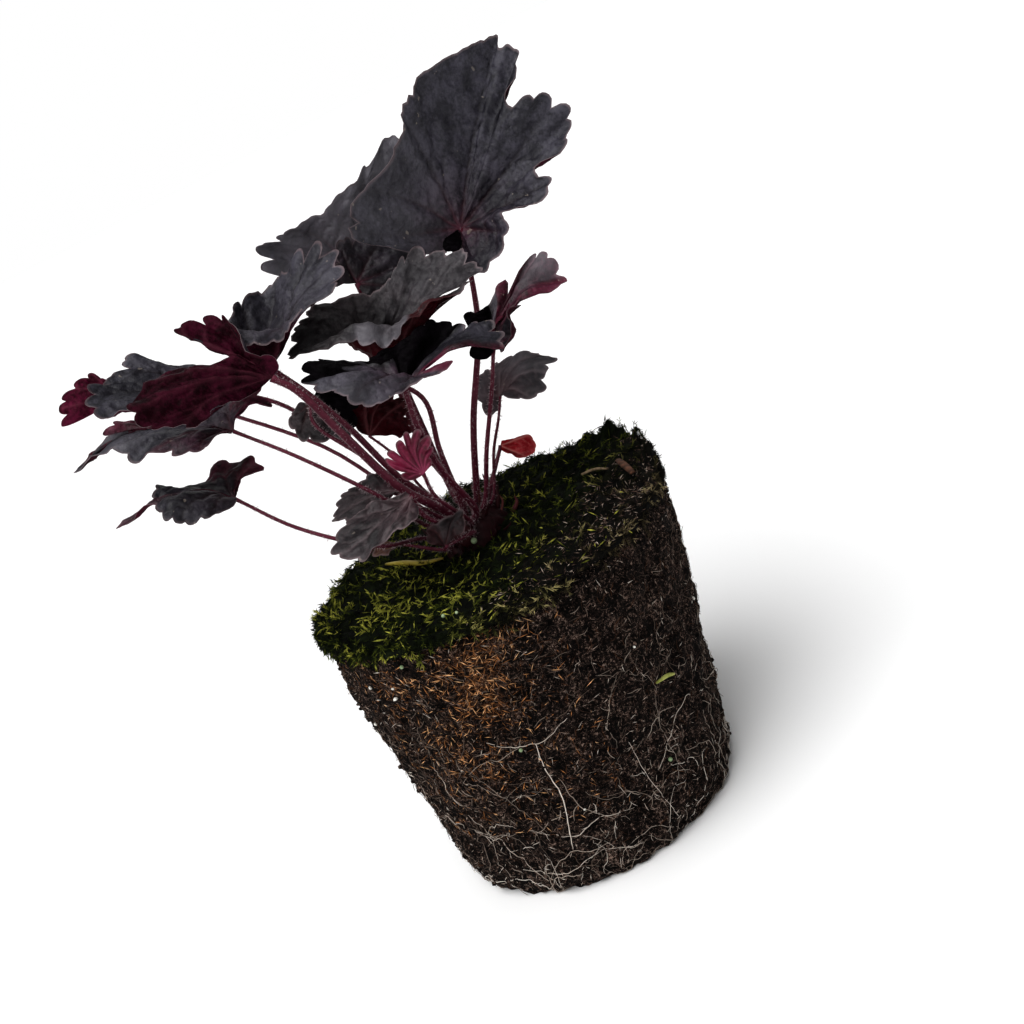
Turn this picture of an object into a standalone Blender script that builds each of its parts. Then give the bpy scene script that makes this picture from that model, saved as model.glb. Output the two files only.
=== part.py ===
"""Coral bells (heuchera) lifted out of its pot: a root ball under moss, a crown, and leaves on long stalks.

Metres, +Z up, and -Y is the front. The origin is on the root ball's flat underside, below the middle of
the moss. A leaf is a blade and a stalk. Leaf values are in millimetres, and a vein's points are measured
from the junction, where the stalk meets the blade. Its veins run clockwise, as the upper face shows them.
"""

import math
from collections import namedtuple

import bmesh
import bpy
from mathutils import Matrix, Vector

MM = 0.001
GAP = 0.0003

BALL_TOP_RADIUS = 0.061
BALL_BOTTOM_RADIUS = 0.0485
BALL_HEIGHT = 0.100
BALL_RIM_ROUND = 0.003
BALL_LEAN = 0.006
ROUND_STEPS = 36

MOSS_TOP = 0.1045
MOSS_RADIUS = 0.0625
MOSS_EDGE_ROUND = 0.0025

CROWN_CENTRE = Vector((-0.001, 0.006, 0.101))
CROWN_HALF = Vector((0.0145, 0.0095, 0.013))
CROWN_TURN = math.radians(40)
CROWN_CLEARANCE = 0.0006
CROWN_COLUMNS = 20
CROWN_RINGS = 12
HOLE_SIDES = 32

BLADE_THICK = 0.0008
STEPS_BETWEEN_VEINS = 4
STEPS_PER_VEIN_POINT = 2
BASAL_REACH = 0.5
BASAL_SHRINK = 0.5
BASAL_POWER = 1.5
NOTCH_POWER = 3.6

STALK_STEPS = 9
STALK_RISE = 0.25
FOOT_CLEARANCE = 0.0006
STALK_TIP_TAPER = 0.7

DEAD_STALK_POINTS = ((-0.033, 0.016), (-0.027, 0.008), (-0.021, 0.000), (-0.014, -0.005))
DEAD_STALK_RADIUS = 0.0012

ROUGHNESS = {"soil": 0.95, "moss": 0.95, "crown": 0.8, "stalk": 0.6, "stalk_dead": 0.6}
LEAF_ROUGHNESS = 0.5
COLOURS = {
    "soil": (0.030, 0.021, 0.014, 1.0),
    "moss": (0.060, 0.085, 0.022, 1.0),
    "crown": (0.120, 0.020, 0.025, 1.0),
    "leaf_dark": (0.035, 0.032, 0.045, 1.0),
    "leaf_young": (0.300, 0.020, 0.090, 1.0),
    "leaf_old": (0.450, 0.080, 0.060, 1.0),
    "stalk": (0.250, 0.070, 0.080, 1.0),
    "stalk_dead": (0.420, 0.330, 0.080, 1.0),
}

# Each foot is a bearing and a rise on the crown, in degrees. The stalk ends this drop short of the junction.
Leaf = namedtuple("Leaf", "junction foot bends thick notch veins drop colour", defaults=(1.2, "leaf_dark"))

LEAVES = {
    "leaf_01": Leaf(
        junction=(39, 22, 192),
        foot=(25, 66),
        bends=[(15, 6, 139), (28, 12, 160), (34, 20, 173)],
        thick=2.2,
        notch=[
            0.06, 0.12, 0.03, 0.02, 0.02, 0.03, 0.01, 0.01, 0.01, 0.01, 0.01, 0.01,
            0.01, 0.02, 0.03, 0.04, 0.05, 0.05, 0.03, 0.02, 0.03, 0.03, 0.03, 0.02,
            0.02, 0.04, 0.05, 0.05, 0.05,
        ],
        veins=[
            [(-8, -3, 0), (-15, -6, -1)],
            [(-17, -8, 6), (-32, -20, 15)],
            [(-12, -6, 14), (-27, -18, 24)],
            [(-7, -3, 15), (-15, -12, 28)],
            [(-2, -1, 18), (-5, -8, 34)],
            [(1, 0, 21), (1, -4, 42)],
            [(4, 2, 23), (9, 0, 47)],
            [(8, 3, 25), (18, 5, 48)],
            [(13, 5, 24), (29, 10, 48)],
            [(17, 6, 23), (38, 14, 47)],
            [(18, 6, 22), (37, 13, 43)],
            [(18, 5, 21), (40, 12, 43)],
            [(19, 5, 19), (42, 12, 39)],
            [(19, 4, 17), (39, 10, 35)],
            [(16, 2, 13), (31, 5, 27)],
            [(20, 3, 13), (37, 3, 27)],
            [(22, 3, 11), (43, 3, 25)],
            [(24, 3, 9), (48, 2, 18)],
            [(24, 2, 7), (46, 1, 13)],
            [(22, 1, 5), (41, -3, 8)],
            [(17, -1, 2), (29, -5, 6)],
            [(17, -3, 1), (32, -8, 2)],
            [(16, -4, 0), (28, -10, -2)],
            [(12, -5, 0), (20, -11, -2)],
            [(7, -5, -1), (13, -11, 0)],
            [(7, -6, -3), (13, -14, -5)],
            [(4, -6, -5), (8, -14, -10)],
            [(-1, -6, -7), (0, -14, -14)],
            [(-2, -8, -4), (-6, -14, -7)],
            [(-4, -6, -1), (-8, -8, -2)],
        ],
        drop=2.0,
    ),
    "leaf_02": Leaf(
        junction=(2, 46, 194),
        foot=(88, 62),
        bends=[(-1, 22, 139), (1, 36, 173)],
        thick=2.0,
        notch=[0.12] * 6,
        veins=[
            [(-12, -4, 5), (-25, -14, 14)],
            [(-11, -4, 11), (-23, -14, 21)],
            [(-4, -2, 13), (-12, -8, 21)],
            [(6, 0, 14), (12, 0, 24)],
            [(16, 4, 15), (33, 10, 31)],
            [(20, 4, 3), (38, 6, 5)],
            [(8, 0, -9), (20, -2, -11)],
        ],
        drop=1.5,
    ),
    "leaf_03": Leaf(
        junction=(2, 20, 192),
        foot=(75, 84),
        bends=[(-4, 14, 139), (0, 18, 169)],
        thick=1.9,
        notch=[0.15] * 5,
        veins=[
            [(-2, -2, 3), (-6, -4, 5)],
            [(0, 2, 7), (1, 4, 14)],
            [(5, 4, 5), (11, 8, 10)],
            [(12, 4, 1), (22, 8, 0)],
            [(11, 0, -4), (22, 0, -9)],
            [(3, -3, -6), (6, -6, -12)],
        ],
        drop=2.0,
    ),
    "leaf_04": Leaf(
        junction=(-32, -18, 184),
        foot=(-124, 58),
        bends=[(-15, -11, 135), (-22, -14, 158), (-27, -17, 176)],
        thick=2.9,
        notch=[0.03, 0.05, 0.08, 0.08, 0.03, 0, 0, 0.02, 0.04, 0.03, 0.04, 0.12, 0.08],
        veins=[
            [(2, -1, 3), (3, -2, 6)],
            [(-2, -1, 6), (-2, -2, 10)],
            [(-2, 1, 8), (-3, 4, 21)],
            [(-3, 1, 10), (-8, 5, 24)],
            [(-5, 0, 11), (-14, 4, 25)],
            [(-7, -1, 12), (-18, 2, 24)],
            [(-3, -2, 6), (-7, -1, 12)],
            [(-7, -3, 9), (-17, -4, 13)],
            [(-12, -6, 12), (-28, -8, 17)],
            [(-16, -11, 11), (-36, -22, 15)],
            [(-16, -13, 8), (-35, -26, 10)],
            [(-16, -13, 6), (-31, -27, 6)],
            [(-13, -11, 3), (-22, -25, 2)],
            [(-8, -8, 1), (-17, -18, 2)],
        ],
    ),
    "leaf_05": Leaf(
        junction=(-32, -8, 185),
        foot=(-160, 72),
        bends=[(-14, 0, 134), (-20, -6, 157), (-26, -10, 174)],
        thick=2.2,
        notch=[0.03, 0.03, 0.03, 0.03, 0.03, 0.05, 0.08, 0.06, 0.08, 0.08, 0.08, 0.05, 0.05],
        veins=[
            [(5, 0, 4), (12, -2, 10), (17, -5, 12)],
            [(4, -1, 4), (9, -3, 10), (8, -7, 7)],
            [(0, -1, 6), (4, -4, 11), (2, -8, 8)],
            [(-3, -1, 7), (0, -4, 13), (-2, -7, 10)],
            [(-5, 0, 9), (-3, -3, 16), (-5, -5, 13)],
            [(-5, 3, 10), (-4, 2, 17), (-6, -1, 16)],
            [(-3, 10, 9), (-3, 14, 15), (-2, 16, 20)],
            [(-1, 12, 8), (1, 18, 14), (3, 22, 20)],
            [(2, 12, 6), (7, 20, 12), (13, 24, 20)],
            [(4, 8, 6), (13, 14, 14), (23, 18, 25)],
            [(5, 5, 6), (15, 10, 14), (30, 14, 25)],
            [(6, 3, 6), (17, 7, 14), (34, 10, 21)],
            [(6, 3, 5), (17, 5, 13), (33, 5, 15)],
            [(7, 2, 5), (17, 2, 11), (29, 0, 12)],
        ],
    ),
    "leaf_06": Leaf(
        junction=(-51, 16, 182),
        foot=(165, 64),
        bends=[(-20, 24, 134), (-36, 22, 166)],
        thick=1.7,
        notch=[0.04, 0.05, 0.05, 0.1, 0.12, 0.05, 0.05],
        veins=[
            [(-10, -6, 2), (-21, -10, 6), (-29, -12, 10)],
            [(-12, -4, 5), (-26, -8, 10), (-36, -10, 12)],
            [(-13, -1, 7), (-25, -4, 12), (-38, -6, 17)],
            [(-12, 2, 8), (-24, 2, 13), (-36, 0, 20)],
            [(-11, 4, 9), (-19, 5, 15), (-31, 4, 19)],
            [(-10, 6, 10), (-17, 8, 17), (-23, 10, 22)],
            [(-7, 8, 9), (-13, 10, 15), (-18, 12, 19)],
            [(-6, 9, 9), (-11, 11, 12), (-17, 13, 14)],
        ],
        drop=0.9,
    ),
    "leaf_07": Leaf(
        junction=(-49, -22, 176),
        foot=(-156, 47),
        bends=[(-21, -18, 137), (-36, -22, 160)],
        thick=1.4,
        notch=[
            0.04, 0.04, 0.14, 0.04, 0.04, 0.03, 0.02, 0.02, 0.04, 0.05, 0.08, 0.1,
            0.08, 0.2, 0.1,
        ],
        veins=[
            [(-2, -3, 1), (-4, -7, 2), (-6, -9, 2)],
            [(-5, -4, 3), (-8, -8, 3), (-10, -10, 1)],
            [(-6, -4, 4), (-11, -8, 4), (-16, -10, 3)],
            [(-7, -2, 5), (-16, -6, 7), (-22, -8, 6)],
            [(-8, 0, 5), (-20, -2, 8), (-29, -4, 6)],
            [(-9, 2, 5), (-22, 0, 10), (-32, -2, 11)],
            [(-12, 3, 7), (-24, 3, 11), (-35, 1, 12)],
            [(-13, 4, 8), (-30, 6, 13), (-47, 4, 10)],
            [(-12, 5, 7), (-24, 6, 12), (-35, 5, 14)],
            [(-11, 5, 7), (-23, 6, 12), (-34, 6, 16)],
            [(-9, 6, 6), (-21, 8, 11), (-29, 9, 17)],
            [(-7, 6, 5), (-13, 9, 8), (-21, 11, 12)],
            [(-3, 6, 4), (-5, 10, 7), (-8, 12, 7)],
            [(0, 5, 4), (1, 9, 7), (4, 12, 9)],
            [(1, 4, 3), (5, 8, 6), (12, 11, 7)],
            [(2, 3, 3), (7, 6, 4), (13, 8, 0)],
        ],
        drop=1.0,
    ),
    "leaf_08": Leaf(
        junction=(-58, -26, 159),
        foot=(-152, 34),
        bends=[(-29, -22, 125), (-46, -26, 142)],
        thick=1.4,
        notch=[
            0.05, 0.1, 0.05, 0.1, 0.05, 0.04, 0.02, 0.02, 0.02, 0.04, 0.04, 0.04,
            0.04, 0.04, 0.04, 0.04,
        ],
        veins=[
            [(0, -4, 1), (-1, -8, 1), (-3, -11, 1)],
            [(-2, -4, 3), (-4, -9, 3), (-7, -13, 1)],
            [(-3, -4, 4), (-7, -10, 5), (-12, -13, 2)],
            [(-4, -3, 5), (-10, -10, 7), (-15, -13, 4)],
            [(-5, -3, 6), (-13, -9, 9), (-18, -12, 6)],
            [(-6, -1, 6), (-15, -6, 10), (-19, -9, 10)],
            [(-7, 0, 6), (-16, -4, 10), (-21, -6, 11)],
            [(-7, 0, 7), (-19, -3, 11), (-33, -4, 9)],
            [(-7, 1, 6), (-16, -1, 10), (-21, -2, 11)],
            [(-7, 2, 6), (-15, 0, 10), (-20, -1, 12)],
            [(-6, 3, 6), (-13, 3, 10), (-18, 3, 13)],
            [(-6, 5, 5), (-11, 6, 8), (-14, 7, 9)],
            [(-4, 6, 4), (-6, 9, 6), (-10, 12, 6)],
            [(-2, 8, 4), (-3, 13, 6), (-1, 17, 8)],
            [(0, 7, 3), (2, 11, 5), (5, 15, 6)],
            [(1, 6, 2), (4, 9, 4), (9, 12, 6)],
            [(1, 5, 2), (4, 7, 3), (11, 9, 2)],
        ],
        drop=0.8,
    ),
    "leaf_09": Leaf(
        junction=(-5, -4, 167),
        foot=(-95, 74),
        bends=[(1, -2, 137), (4, -2, 154)],
        thick=1.9,
        notch=[
            0.04, 0.03, 0.03, 0.03, 0.03, 0.06, 0.08, 0.06, 0.06, 0.03, 0.06, 0.04,
            0.06, 0.05, 0.06, 0.05,
        ],
        veins=[
            [(10, -2, 5), (27, -2, 12), (39, -2, 13)],
            [(9, -3, 5), (20, -4, 14), (26, -6, 13)],
            [(7, -3, 6), (17, -5, 13), (17, -9, 13)],
            [(6, -3, 6), (13, -5, 13), (12, -10, 10)],
            [(4, -3, 6), (9, -5, 14), (6, -10, 9)],
            [(2, -3, 8), (4, -5, 17), (1, -10, 12)],
            [(1, -2, 9), (-1, -4, 18), (-4, -8, 15)],
            [(0, 2, 9), (-8, 0, 17), (-21, -3, 18)],
            [(1, 5, 9), (-6, 6, 20), (-16, 5, 24)],
            [(2, 6, 9), (-2, 8, 21), (-8, 9, 27)],
            [(3, 8, 9), (3, 11, 19), (4, 13, 24)],
            [(5, 9, 8), (10, 11, 15), (14, 14, 22)],
            [(6, 9, 7), (14, 11, 17), (22, 14, 27)],
            [(7, 8, 7), (18, 11, 16), (29, 14, 28)],
            [(8, 6, 6), (22, 8, 15), (35, 12, 23)],
            [(9, 4, 6), (24, 6, 14), (41, 9, 22)],
            [(9, 2, 5), (25, 3, 13), (44, 5, 14)],
        ],
    ),
    "leaf_10": Leaf(
        junction=(1, -26, 165),
        foot=(-80, 58),
        bends=[(-1, -16, 135), (-1, -23, 152)],
        thick=2.2,
        notch=[
            0.05, 0.05, 0.03, 0.03, 0.05, 0.08, 0.08, 0.1, 0.08, 0.05, 0.1, 0.05,
            0.04, 0.05, 0.04, 0.05, 0.12, 0.04, 0.05, 0.03,
        ],
        veins=[
            [(4, -1, 1), (10, -5, 2), (16, -5, 1)],
            [(3, -2, 2), (7, -6, 2), (9, -8, 1)],
            [(2, -3, 4), (-2, -8, 3), (-6, -10, 1)],
            [(-1, -3, 6), (-7, -9, 6), (-11, -11, 2)],
            [(-1, -2, 6), (-9, -10, 8), (-15, -11, 5)],
            [(-3, -2, 7), (-11, -9, 9), (-17, -9, 9)],
            [(-5, -1, 8), (-14, -5, 12), (-22, -7, 12)],
            [(-5, 0, 8), (-16, -3, 13), (-25, -5, 16)],
            [(-5, 1, 8), (-15, 0, 14), (-23, 1, 19)],
            [(-4, 4, 7), (-10, 6, 12), (-17, 6, 18)],
            [(-1, 5, 7), (-6, 7, 10), (-13, 8, 12)],
            [(1, 6, 7), (0, 8, 9), (-2, 9, 11)],
            [(3, 6, 6), (5, 9, 9), (6, 10, 11)],
            [(5, 6, 5), (9, 9, 8), (11, 11, 12)],
            [(6, 6, 4), (12, 11, 6), (16, 13, 12)],
            [(7, 6, 3), (14, 11, 5), (20, 14, 9)],
            [(7, 5, 3), (16, 10, 4), (24, 13, 6)],
            [(7, 4, 3), (18, 8, 4), (27, 10, 6)],
            [(7, 3, 2), (20, 4, 5), (32, 6, 4)],
            [(6, 1, 2), (19, 0, 5), (33, 1, 0)],
            [(5, 0, 1), (18, -4, 5), (31, -4, -2)],
        ],
    ),
    "leaf_11": Leaf(
        junction=(-17, 9, 149),
        foot=(160, 76),
        bends=[(-10, 12, 124), (-13, 11, 139)],
        thick=1.1,
        notch=[0.12] * 4,
        veins=[
            [(8, 0, -2), (13, 0, -5)],
            [(8, 2, 3), (16, 2, 4)],
            [(5, 2, 6), (12, 4, 9)],
            [(2, 0, 7), (6, 2, 13)],
            [(-1, 0, 5), (0, 0, 13)],
        ],
    ),
    "leaf_12": Leaf(
        junction=(-28, 2, 168),
        foot=(-176, 58),
        bends=[(-20, 4, 142), (-29, -1, 161)],
        thick=1.4,
        notch=[0.12] * 7,
        veins=[
            [(5, 3, 1), (10, 5, 0)],
            [(6, 3, -2), (13, 5, -7)],
            [(5, 2, -6), (10, 4, -13)],
            [(2, 2, -8), (5, 4, -16)],
            [(-1, 2, -7), (-3, 4, -13)],
            [(-5, 2, -5), (-9, 4, -10)],
            [(-5, 2, -2), (-9, 4, -3)],
            [(-3, 3, 0), (-6, 5, 0)],
        ],
    ),
    "leaf_13": Leaf(
        junction=(30, -4, 158),
        foot=(-20, 62),
        bends=[(14, -2, 130), (24, -4, 147)],
        thick=1.6,
        notch=[0.06, 0.03, 0.04, 0.04, 0.06, 0.35, 0.05, 0.03, 0.05, 0.04, 0.6, 0.06, 0.05],
        veins=[
            [(-1, -3, 1), (-4, -6, 2), (-7, -9, 4)],
            [(-2, -2, 3), (-3, -4, 7), (-4, -5, 10)],
            [(-1, -1, 4), (-2, -2, 10), (-3, 0, 14)],
            [(2, 2, 5), (3, 4, 9), (3, 4, 12)],
            [(2, 2, 5), (6, 4, 10), (8, 6, 14)],
            [(5, 3, 7), (9, 5, 12), (11, 7, 16)],
            [(6, 3, 7), (14, 6, 12), (24, 9, 19)],
            [(6, 3, 7), (15, 5, 13), (28, 8, 18)],
            [(6, 3, 6), (16, 4, 12), (30, 6, 14)],
            [(6, 2, 6), (17, 2, 12), (30, 3, 8)],
            [(6, 1, 6), (15, 0, 11), (26, 0, 8)],
            [(6, -1, 4), (9, -3, 8), (11, -4, 10)],
            [(5, -3, 2), (8, -6, 4), (8, -8, 7)],
            [(3, -5, 1), (4, -8, 1), (3, -9, 1)],
        ],
    ),
    "leaf_14": Leaf(
        junction=(26, 12, 140),
        foot=(10, 50),
        bends=[(16, 14, 124), (22, 13, 133)],
        thick=1.1,
        notch=[0.08, 0.05, 0.18, 0.05, 0.05, 0.12, 0.08, 0.05, 0.08],
        veins=[
            [(-1, 2, -2), (-4, 3, -3), (-7, 4, -4)],
            [(-2, 3, 1), (-5, 4, 2), (-7, 5, 5)],
            [(-1, 3, 3), (-2, 5, 6), (-3, 6, 8)],
            [(2, 3, 4), (4, 5, 7), (7, 7, 9)],
            [(5, 3, 5), (10, 5, 7), (15, 7, 7)],
            [(6, 2, 5), (14, 4, 5), (22, 6, 1)],
            [(7, 1, 3), (13, 3, 2), (17, 4, -1)],
            [(6, 0, 2), (10, 0, -1), (14, 0, -5)],
            [(4, -1, 1), (7, -2, -2), (9, -2, -5)],
            [(2, -2, 1), (3, -4, -1), (3, -5, -2)],
        ],
        drop=1.7,
    ),
    "leaf_15": Leaf(
        junction=(-6, -25, 139),
        foot=(-98, 46),
        bends=[(-6, -20, 129)],
        thick=1.5,
        notch=[0.35, 0.3, 0.5, 0.35, 0.3, 0.5, 0.3, 0.3],
        veins=[
            [(-2, 0, 1), (-6, 0, 1)],
            [(-4, -1, 4), (-8, -2, 9)],
            [(-3, -2, 6), (-6, -3, 12)],
            [(-2, -1, 7), (-2, -2, 13)],
            [(0, 0, 8), (1, -1, 14)],
            [(1, 0, 8), (5, 0, 13)],
            [(2, 1, 6), (7, 1, 9)],
            [(3, 1, 4), (6, 2, 5)],
            [(3, 1, 2), (4, 2, 1)],
        ],
        colour="leaf_young",
    ),
    "leaf_16": Leaf(
        junction=(-12, -26, 135),
        foot=(-112, 34),
        bends=[(-12, -20, 126)],
        thick=1.7,
        notch=[0.04] * 10,
        veins=[
            [(-1, -3, -1), (-1, -6, -3), (-2, -8, -5)],
            [(-2, -4, -1), (-4, -8, -3), (-6, -10, -5)],
            [(-3, -4, -2), (-7, -9, -2), (-10, -11, -4)],
            [(-5, -4, -1), (-10, -9, -3), (-15, -11, -6)],
            [(-6, -3, -1), (-13, -8, -4), (-21, -10, -8)],
            [(-7, -2, -1), (-16, -6, -4), (-26, -7, -6)],
            [(-7, -1, -1), (-18, -3, -2), (-29, -4, -3)],
            [(-7, 1, -1), (-16, 0, -1), (-25, 0, 0)],
            [(-5, 2, -1), (-13, 3, 0), (-20, 3, 2)],
            [(-4, 3, -1), (-8, 5, 0), (-12, 6, 2)],
            [(-2, 3, 0), (-4, 5, 0), (-6, 6, 1)],
        ],
    ),
    "leaf_17": Leaf(
        junction=(-16, -4, 132),
        foot=(-158, 60),
        bends=[(-13, 0, 123)],
        thick=1.5,
        notch=[0.03] * 3,
        veins=[
            [(-5, -4, 1), (-17, -6, 0)],
            [(-10, -2, 3), (-23, -2, 2)],
            [(-8, 2, 3), (-17, 4, 6)],
            [(-4, 4, 3), (-7, 8, 7)],
        ],
    ),
    "leaf_18": Leaf(
        junction=(-11, -20, 114),
        foot=(-100, 34),
        bends=[],
        thick=1.7,
        notch=[0.04] * 4,
        veins=[
            [(-1, -2, 3), (-4, -4, 6)],
            [(0, 0, 4), (-1, 0, 8)],
            [(2, 1, 4), (4, 2, 8)],
            [(5, 2, 4), (10, 4, 7)],
            [(5, 2, 2), (9, 3, 3)],
        ],
    ),
    "leaf_19": Leaf(
        junction=(19, 20, 123),
        foot=(40, 40),
        bends=[],
        thick=1.7,
        notch=[0.02] * 7,
        veins=[
            [(0, -1, -1), (1, -2, -3)],
            [(2, -4, -2), (3, -3, -5)],
            [(3, -5, -2), (6, -3, -6)],
            [(4, -5, -1), (9, -2, -7)],
            [(5, -4, -1), (11, -1, -5)],
            [(5, -3, 0), (10, 1, -2)],
            [(3, -1, 1), (6, 2, -1)],
            [(2, 0, 1), (3, 2, 0)],
        ],
        drop=1.9,
        colour="leaf_old",
    ),
    "leaf_20": Leaf(
        junction=(-23, -5, 116),
        foot=(-140, 24),
        bends=[],
        thick=1.3,
        notch=[0.08] * 2,
        veins=[
            [(-4, -2, 1), (-6, -3, 0)],
            [(-5, 0, 1), (-10, -1, 2)],
            [(-5, 2, 2), (-9, 3, 3)],
        ],
        drop=0.8,
        colour="leaf_old",
    ),
    "leaf_21": Leaf(
        junction=(-82, 22, 195),
        foot=(140, 48),
        bends=[(-32, 30, 146), (-57, 30, 174), (-69, 24, 188)],
        thick=1.4,
        notch=[0.08] * 5,
        veins=[
            [(0, 0, 3), (0, 0, 6)],
            [(-1, 0, 4), (-3, 0, 10)],
            [(-3, -1, 5), (-8, -1, 10)],
            [(-5, -1, 4), (-14, -2, 8)],
            [(-7, -1, 2), (-17, -3, 5)],
            [(-6, -2, 0), (-19, -4, 0)],
        ],
        drop=1.0,
    ),
}


def clear_scene():
    for obj in list(bpy.data.objects):
        bpy.data.objects.remove(obj, do_unlink=True)


def make_collection(name, hidden=False):
    collection = bpy.data.collections.new(name)
    bpy.context.scene.collection.children.link(collection)
    collection.hide_render = hidden
    return collection


def make_material(name, colour):
    material = bpy.data.materials.new(name)
    material.use_nodes = True
    shader = material.node_tree.nodes["Principled BSDF"]
    shader.inputs["Base Color"].default_value = COLOURS[colour]
    shader.inputs["Roughness"].default_value = ROUGHNESS.get(colour, LEAF_ROUGHNESS)
    shader.inputs["Metallic"].default_value = 0.0
    return material


def add_object(name, data, collection, colour):
    obj = bpy.data.objects.new(name, data)
    collection.objects.link(obj)
    data.materials.append(make_material(name + "_material", colour))
    return obj


def mesh_from(bm, name):
    mesh = bpy.data.meshes.new(name)
    bm.to_mesh(mesh)
    bm.free()
    for polygon in mesh.polygons:
        polygon.use_smooth = True
    return mesh


def turned(name, profile, collection, colour):
    """A profile of (radius, height) points, from the top to the bottom, turned about Z."""
    bm = bmesh.new()
    points = [bm.verts.new((radius, 0.0, height)) for radius, height in profile]
    for upper, lower in zip(points, points[1:]):
        bm.edges.new((upper, lower))
    obj = add_object(name, mesh_from(bm, name), collection, colour)
    screw = obj.modifiers.new("turn", "SCREW")
    screw.steps = ROUND_STEPS
    screw.render_steps = ROUND_STEPS
    screw.use_merge_vertices = True
    screw.merge_threshold = GAP / 3
    screw.use_smooth_shade = True
    return obj


def root_ball(parts):
    """The soil and roots, still in the pot's shape, slumped a little towards -X at the foot."""
    rim_height = BALL_HEIGHT - BALL_RIM_ROUND
    rings = (
        (BALL_BOTTOM_RADIUS, 0.0),
        (BALL_TOP_RADIUS, rim_height),
        (BALL_TOP_RADIUS - BALL_RIM_ROUND, BALL_HEIGHT),
    )
    bm = bmesh.new()
    loops = []
    for radius, height in rings:
        middle = Vector((-BALL_LEAN * (1 - height / BALL_HEIGHT), 0.0, height))
        angles = [math.tau * step / ROUND_STEPS for step in range(ROUND_STEPS)]
        rays = [Vector((math.cos(angle), math.sin(angle), 0.0)) for angle in angles]
        loops.append([bm.verts.new(middle + radius * ray) for ray in rays])
    bm.faces.new(reversed(loops[0]))
    bm.faces.new(loops[-1])
    for lower, upper in zip(loops, loops[1:]):
        for step in range(ROUND_STEPS):
            after = (step + 1) % ROUND_STEPS
            bm.faces.new((lower[step], lower[after], upper[after], upper[step]))
    return add_object("root_ball", mesh_from(bm, "root_ball"), parts, "soil")


def crown_frame():
    return Matrix.Translation(CROWN_CENTRE) @ Matrix.Rotation(CROWN_TURN, 4, "Z")


def crown_cutter(cutters):
    """The hole that the crown fills in the moss."""
    bm = bmesh.new()
    bmesh.ops.create_cone(bm, cap_ends=True, segments=HOLE_SIDES, radius1=1.0, radius2=1.0, depth=1.0)
    size = (CROWN_HALF.x + CROWN_CLEARANCE, CROWN_HALF.y + CROWN_CLEARANCE, 4 * CROWN_HALF.z)
    bmesh.ops.scale(bm, vec=size, verts=bm.verts)
    obj = add_object("crown_cutter", mesh_from(bm, "crown_cutter"), cutters, "crown")
    obj.matrix_world = crown_frame()
    obj.hide_render = True
    obj.display_type = "WIRE"
    return obj


def moss_layer(parts, cutter):
    """The mat of moss on the root ball, with the crown standing in its hole."""
    bottom = BALL_HEIGHT + GAP
    profile = [
        (0.0, MOSS_TOP),
        (MOSS_RADIUS - MOSS_EDGE_ROUND, MOSS_TOP),
        (MOSS_RADIUS, MOSS_TOP - MOSS_EDGE_ROUND),
        (MOSS_RADIUS - MOSS_EDGE_ROUND, bottom),
        (0.0, bottom),
    ]
    obj = turned("moss_layer", profile, parts, "moss")
    cut = obj.modifiers.new("crown_hole", "BOOLEAN")
    cut.operation = "DIFFERENCE"
    cut.solver = "EXACT"
    cut.object = cutter
    return obj


def crown(parts):
    """The woody crown that the stalks grow from: the upper half of a lump, standing on the soil."""
    bm = bmesh.new()
    bmesh.ops.create_uvsphere(bm, u_segments=CROWN_COLUMNS, v_segments=CROWN_RINGS, radius=1.0)
    bmesh.ops.scale(bm, vec=CROWN_HALF, verts=bm.verts)
    floor = Vector((0.0, 0.0, BALL_HEIGHT + GAP - CROWN_CENTRE.z))
    everything = bm.verts[:] + bm.edges[:] + bm.faces[:]
    bmesh.ops.bisect_plane(bm, geom=everything, plane_co=floor, plane_no=(0, 0, 1), clear_inner=True)
    rim = [edge for edge in bm.edges if edge.is_boundary]
    bmesh.ops.holes_fill(bm, edges=rim)
    bmesh.ops.recalc_face_normals(bm, faces=bm.faces)
    obj = add_object("crown", mesh_from(bm, "crown"), parts, "crown")
    obj.matrix_world = crown_frame()
    return obj


def on_crown(bearing, rise):
    """Where a stalk leaves the crown in this direction from its centre, and the normal there."""
    turned_by = bearing - CROWN_TURN
    flat = math.cos(rise)
    along = Vector((flat * math.cos(turned_by), flat * math.sin(turned_by), math.sin(rise)))
    point = along / math.sqrt(sum((a / half) ** 2 for a, half in zip(along, CROWN_HALF)))
    normal = Vector([p / half**2 for p, half in zip(point, CROWN_HALF)]).normalized()
    frame = crown_frame()
    return frame @ (point + normal * FOOT_CLEARANCE), (frame.to_3x3() @ normal).normalized()


def smooth_point(points, place):
    """A Catmull-Rom curve through the points. place is 0 at the first one and rises by 1 at each."""
    last = len(points) - 1
    index = min(max(math.floor(place), 0), last - 1)
    t = place - index
    start, end = points[index], points[index + 1]
    before = points[index - 1] if index > 0 else 2 * start - end
    after = points[index + 2] if index + 2 <= last else 2 * end - start
    return 0.5 * (
        2 * start
        + (end - before) * t
        + (2 * before - 5 * start + 4 * end - after) * t**2
        + (3 * start - before - 3 * end + after) * t**3
    )


def margin(leaf, across):
    """How much of a vein's length the blade keeps here: all of it on a vein, less in the notches."""
    last = len(leaf.veins) - 1
    beyond = max(-across, across - last, 0.0)
    if beyond > 0:
        return 1.0 - (1.0 - BASAL_SHRINK) * (beyond / BASAL_REACH) ** BASAL_POWER
    gap = min(int(across), last - 1)
    to_vein = abs(across - round(across))
    return 1.0 - leaf.notch[gap] * (2 * to_vein) ** NOTCH_POWER


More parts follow.
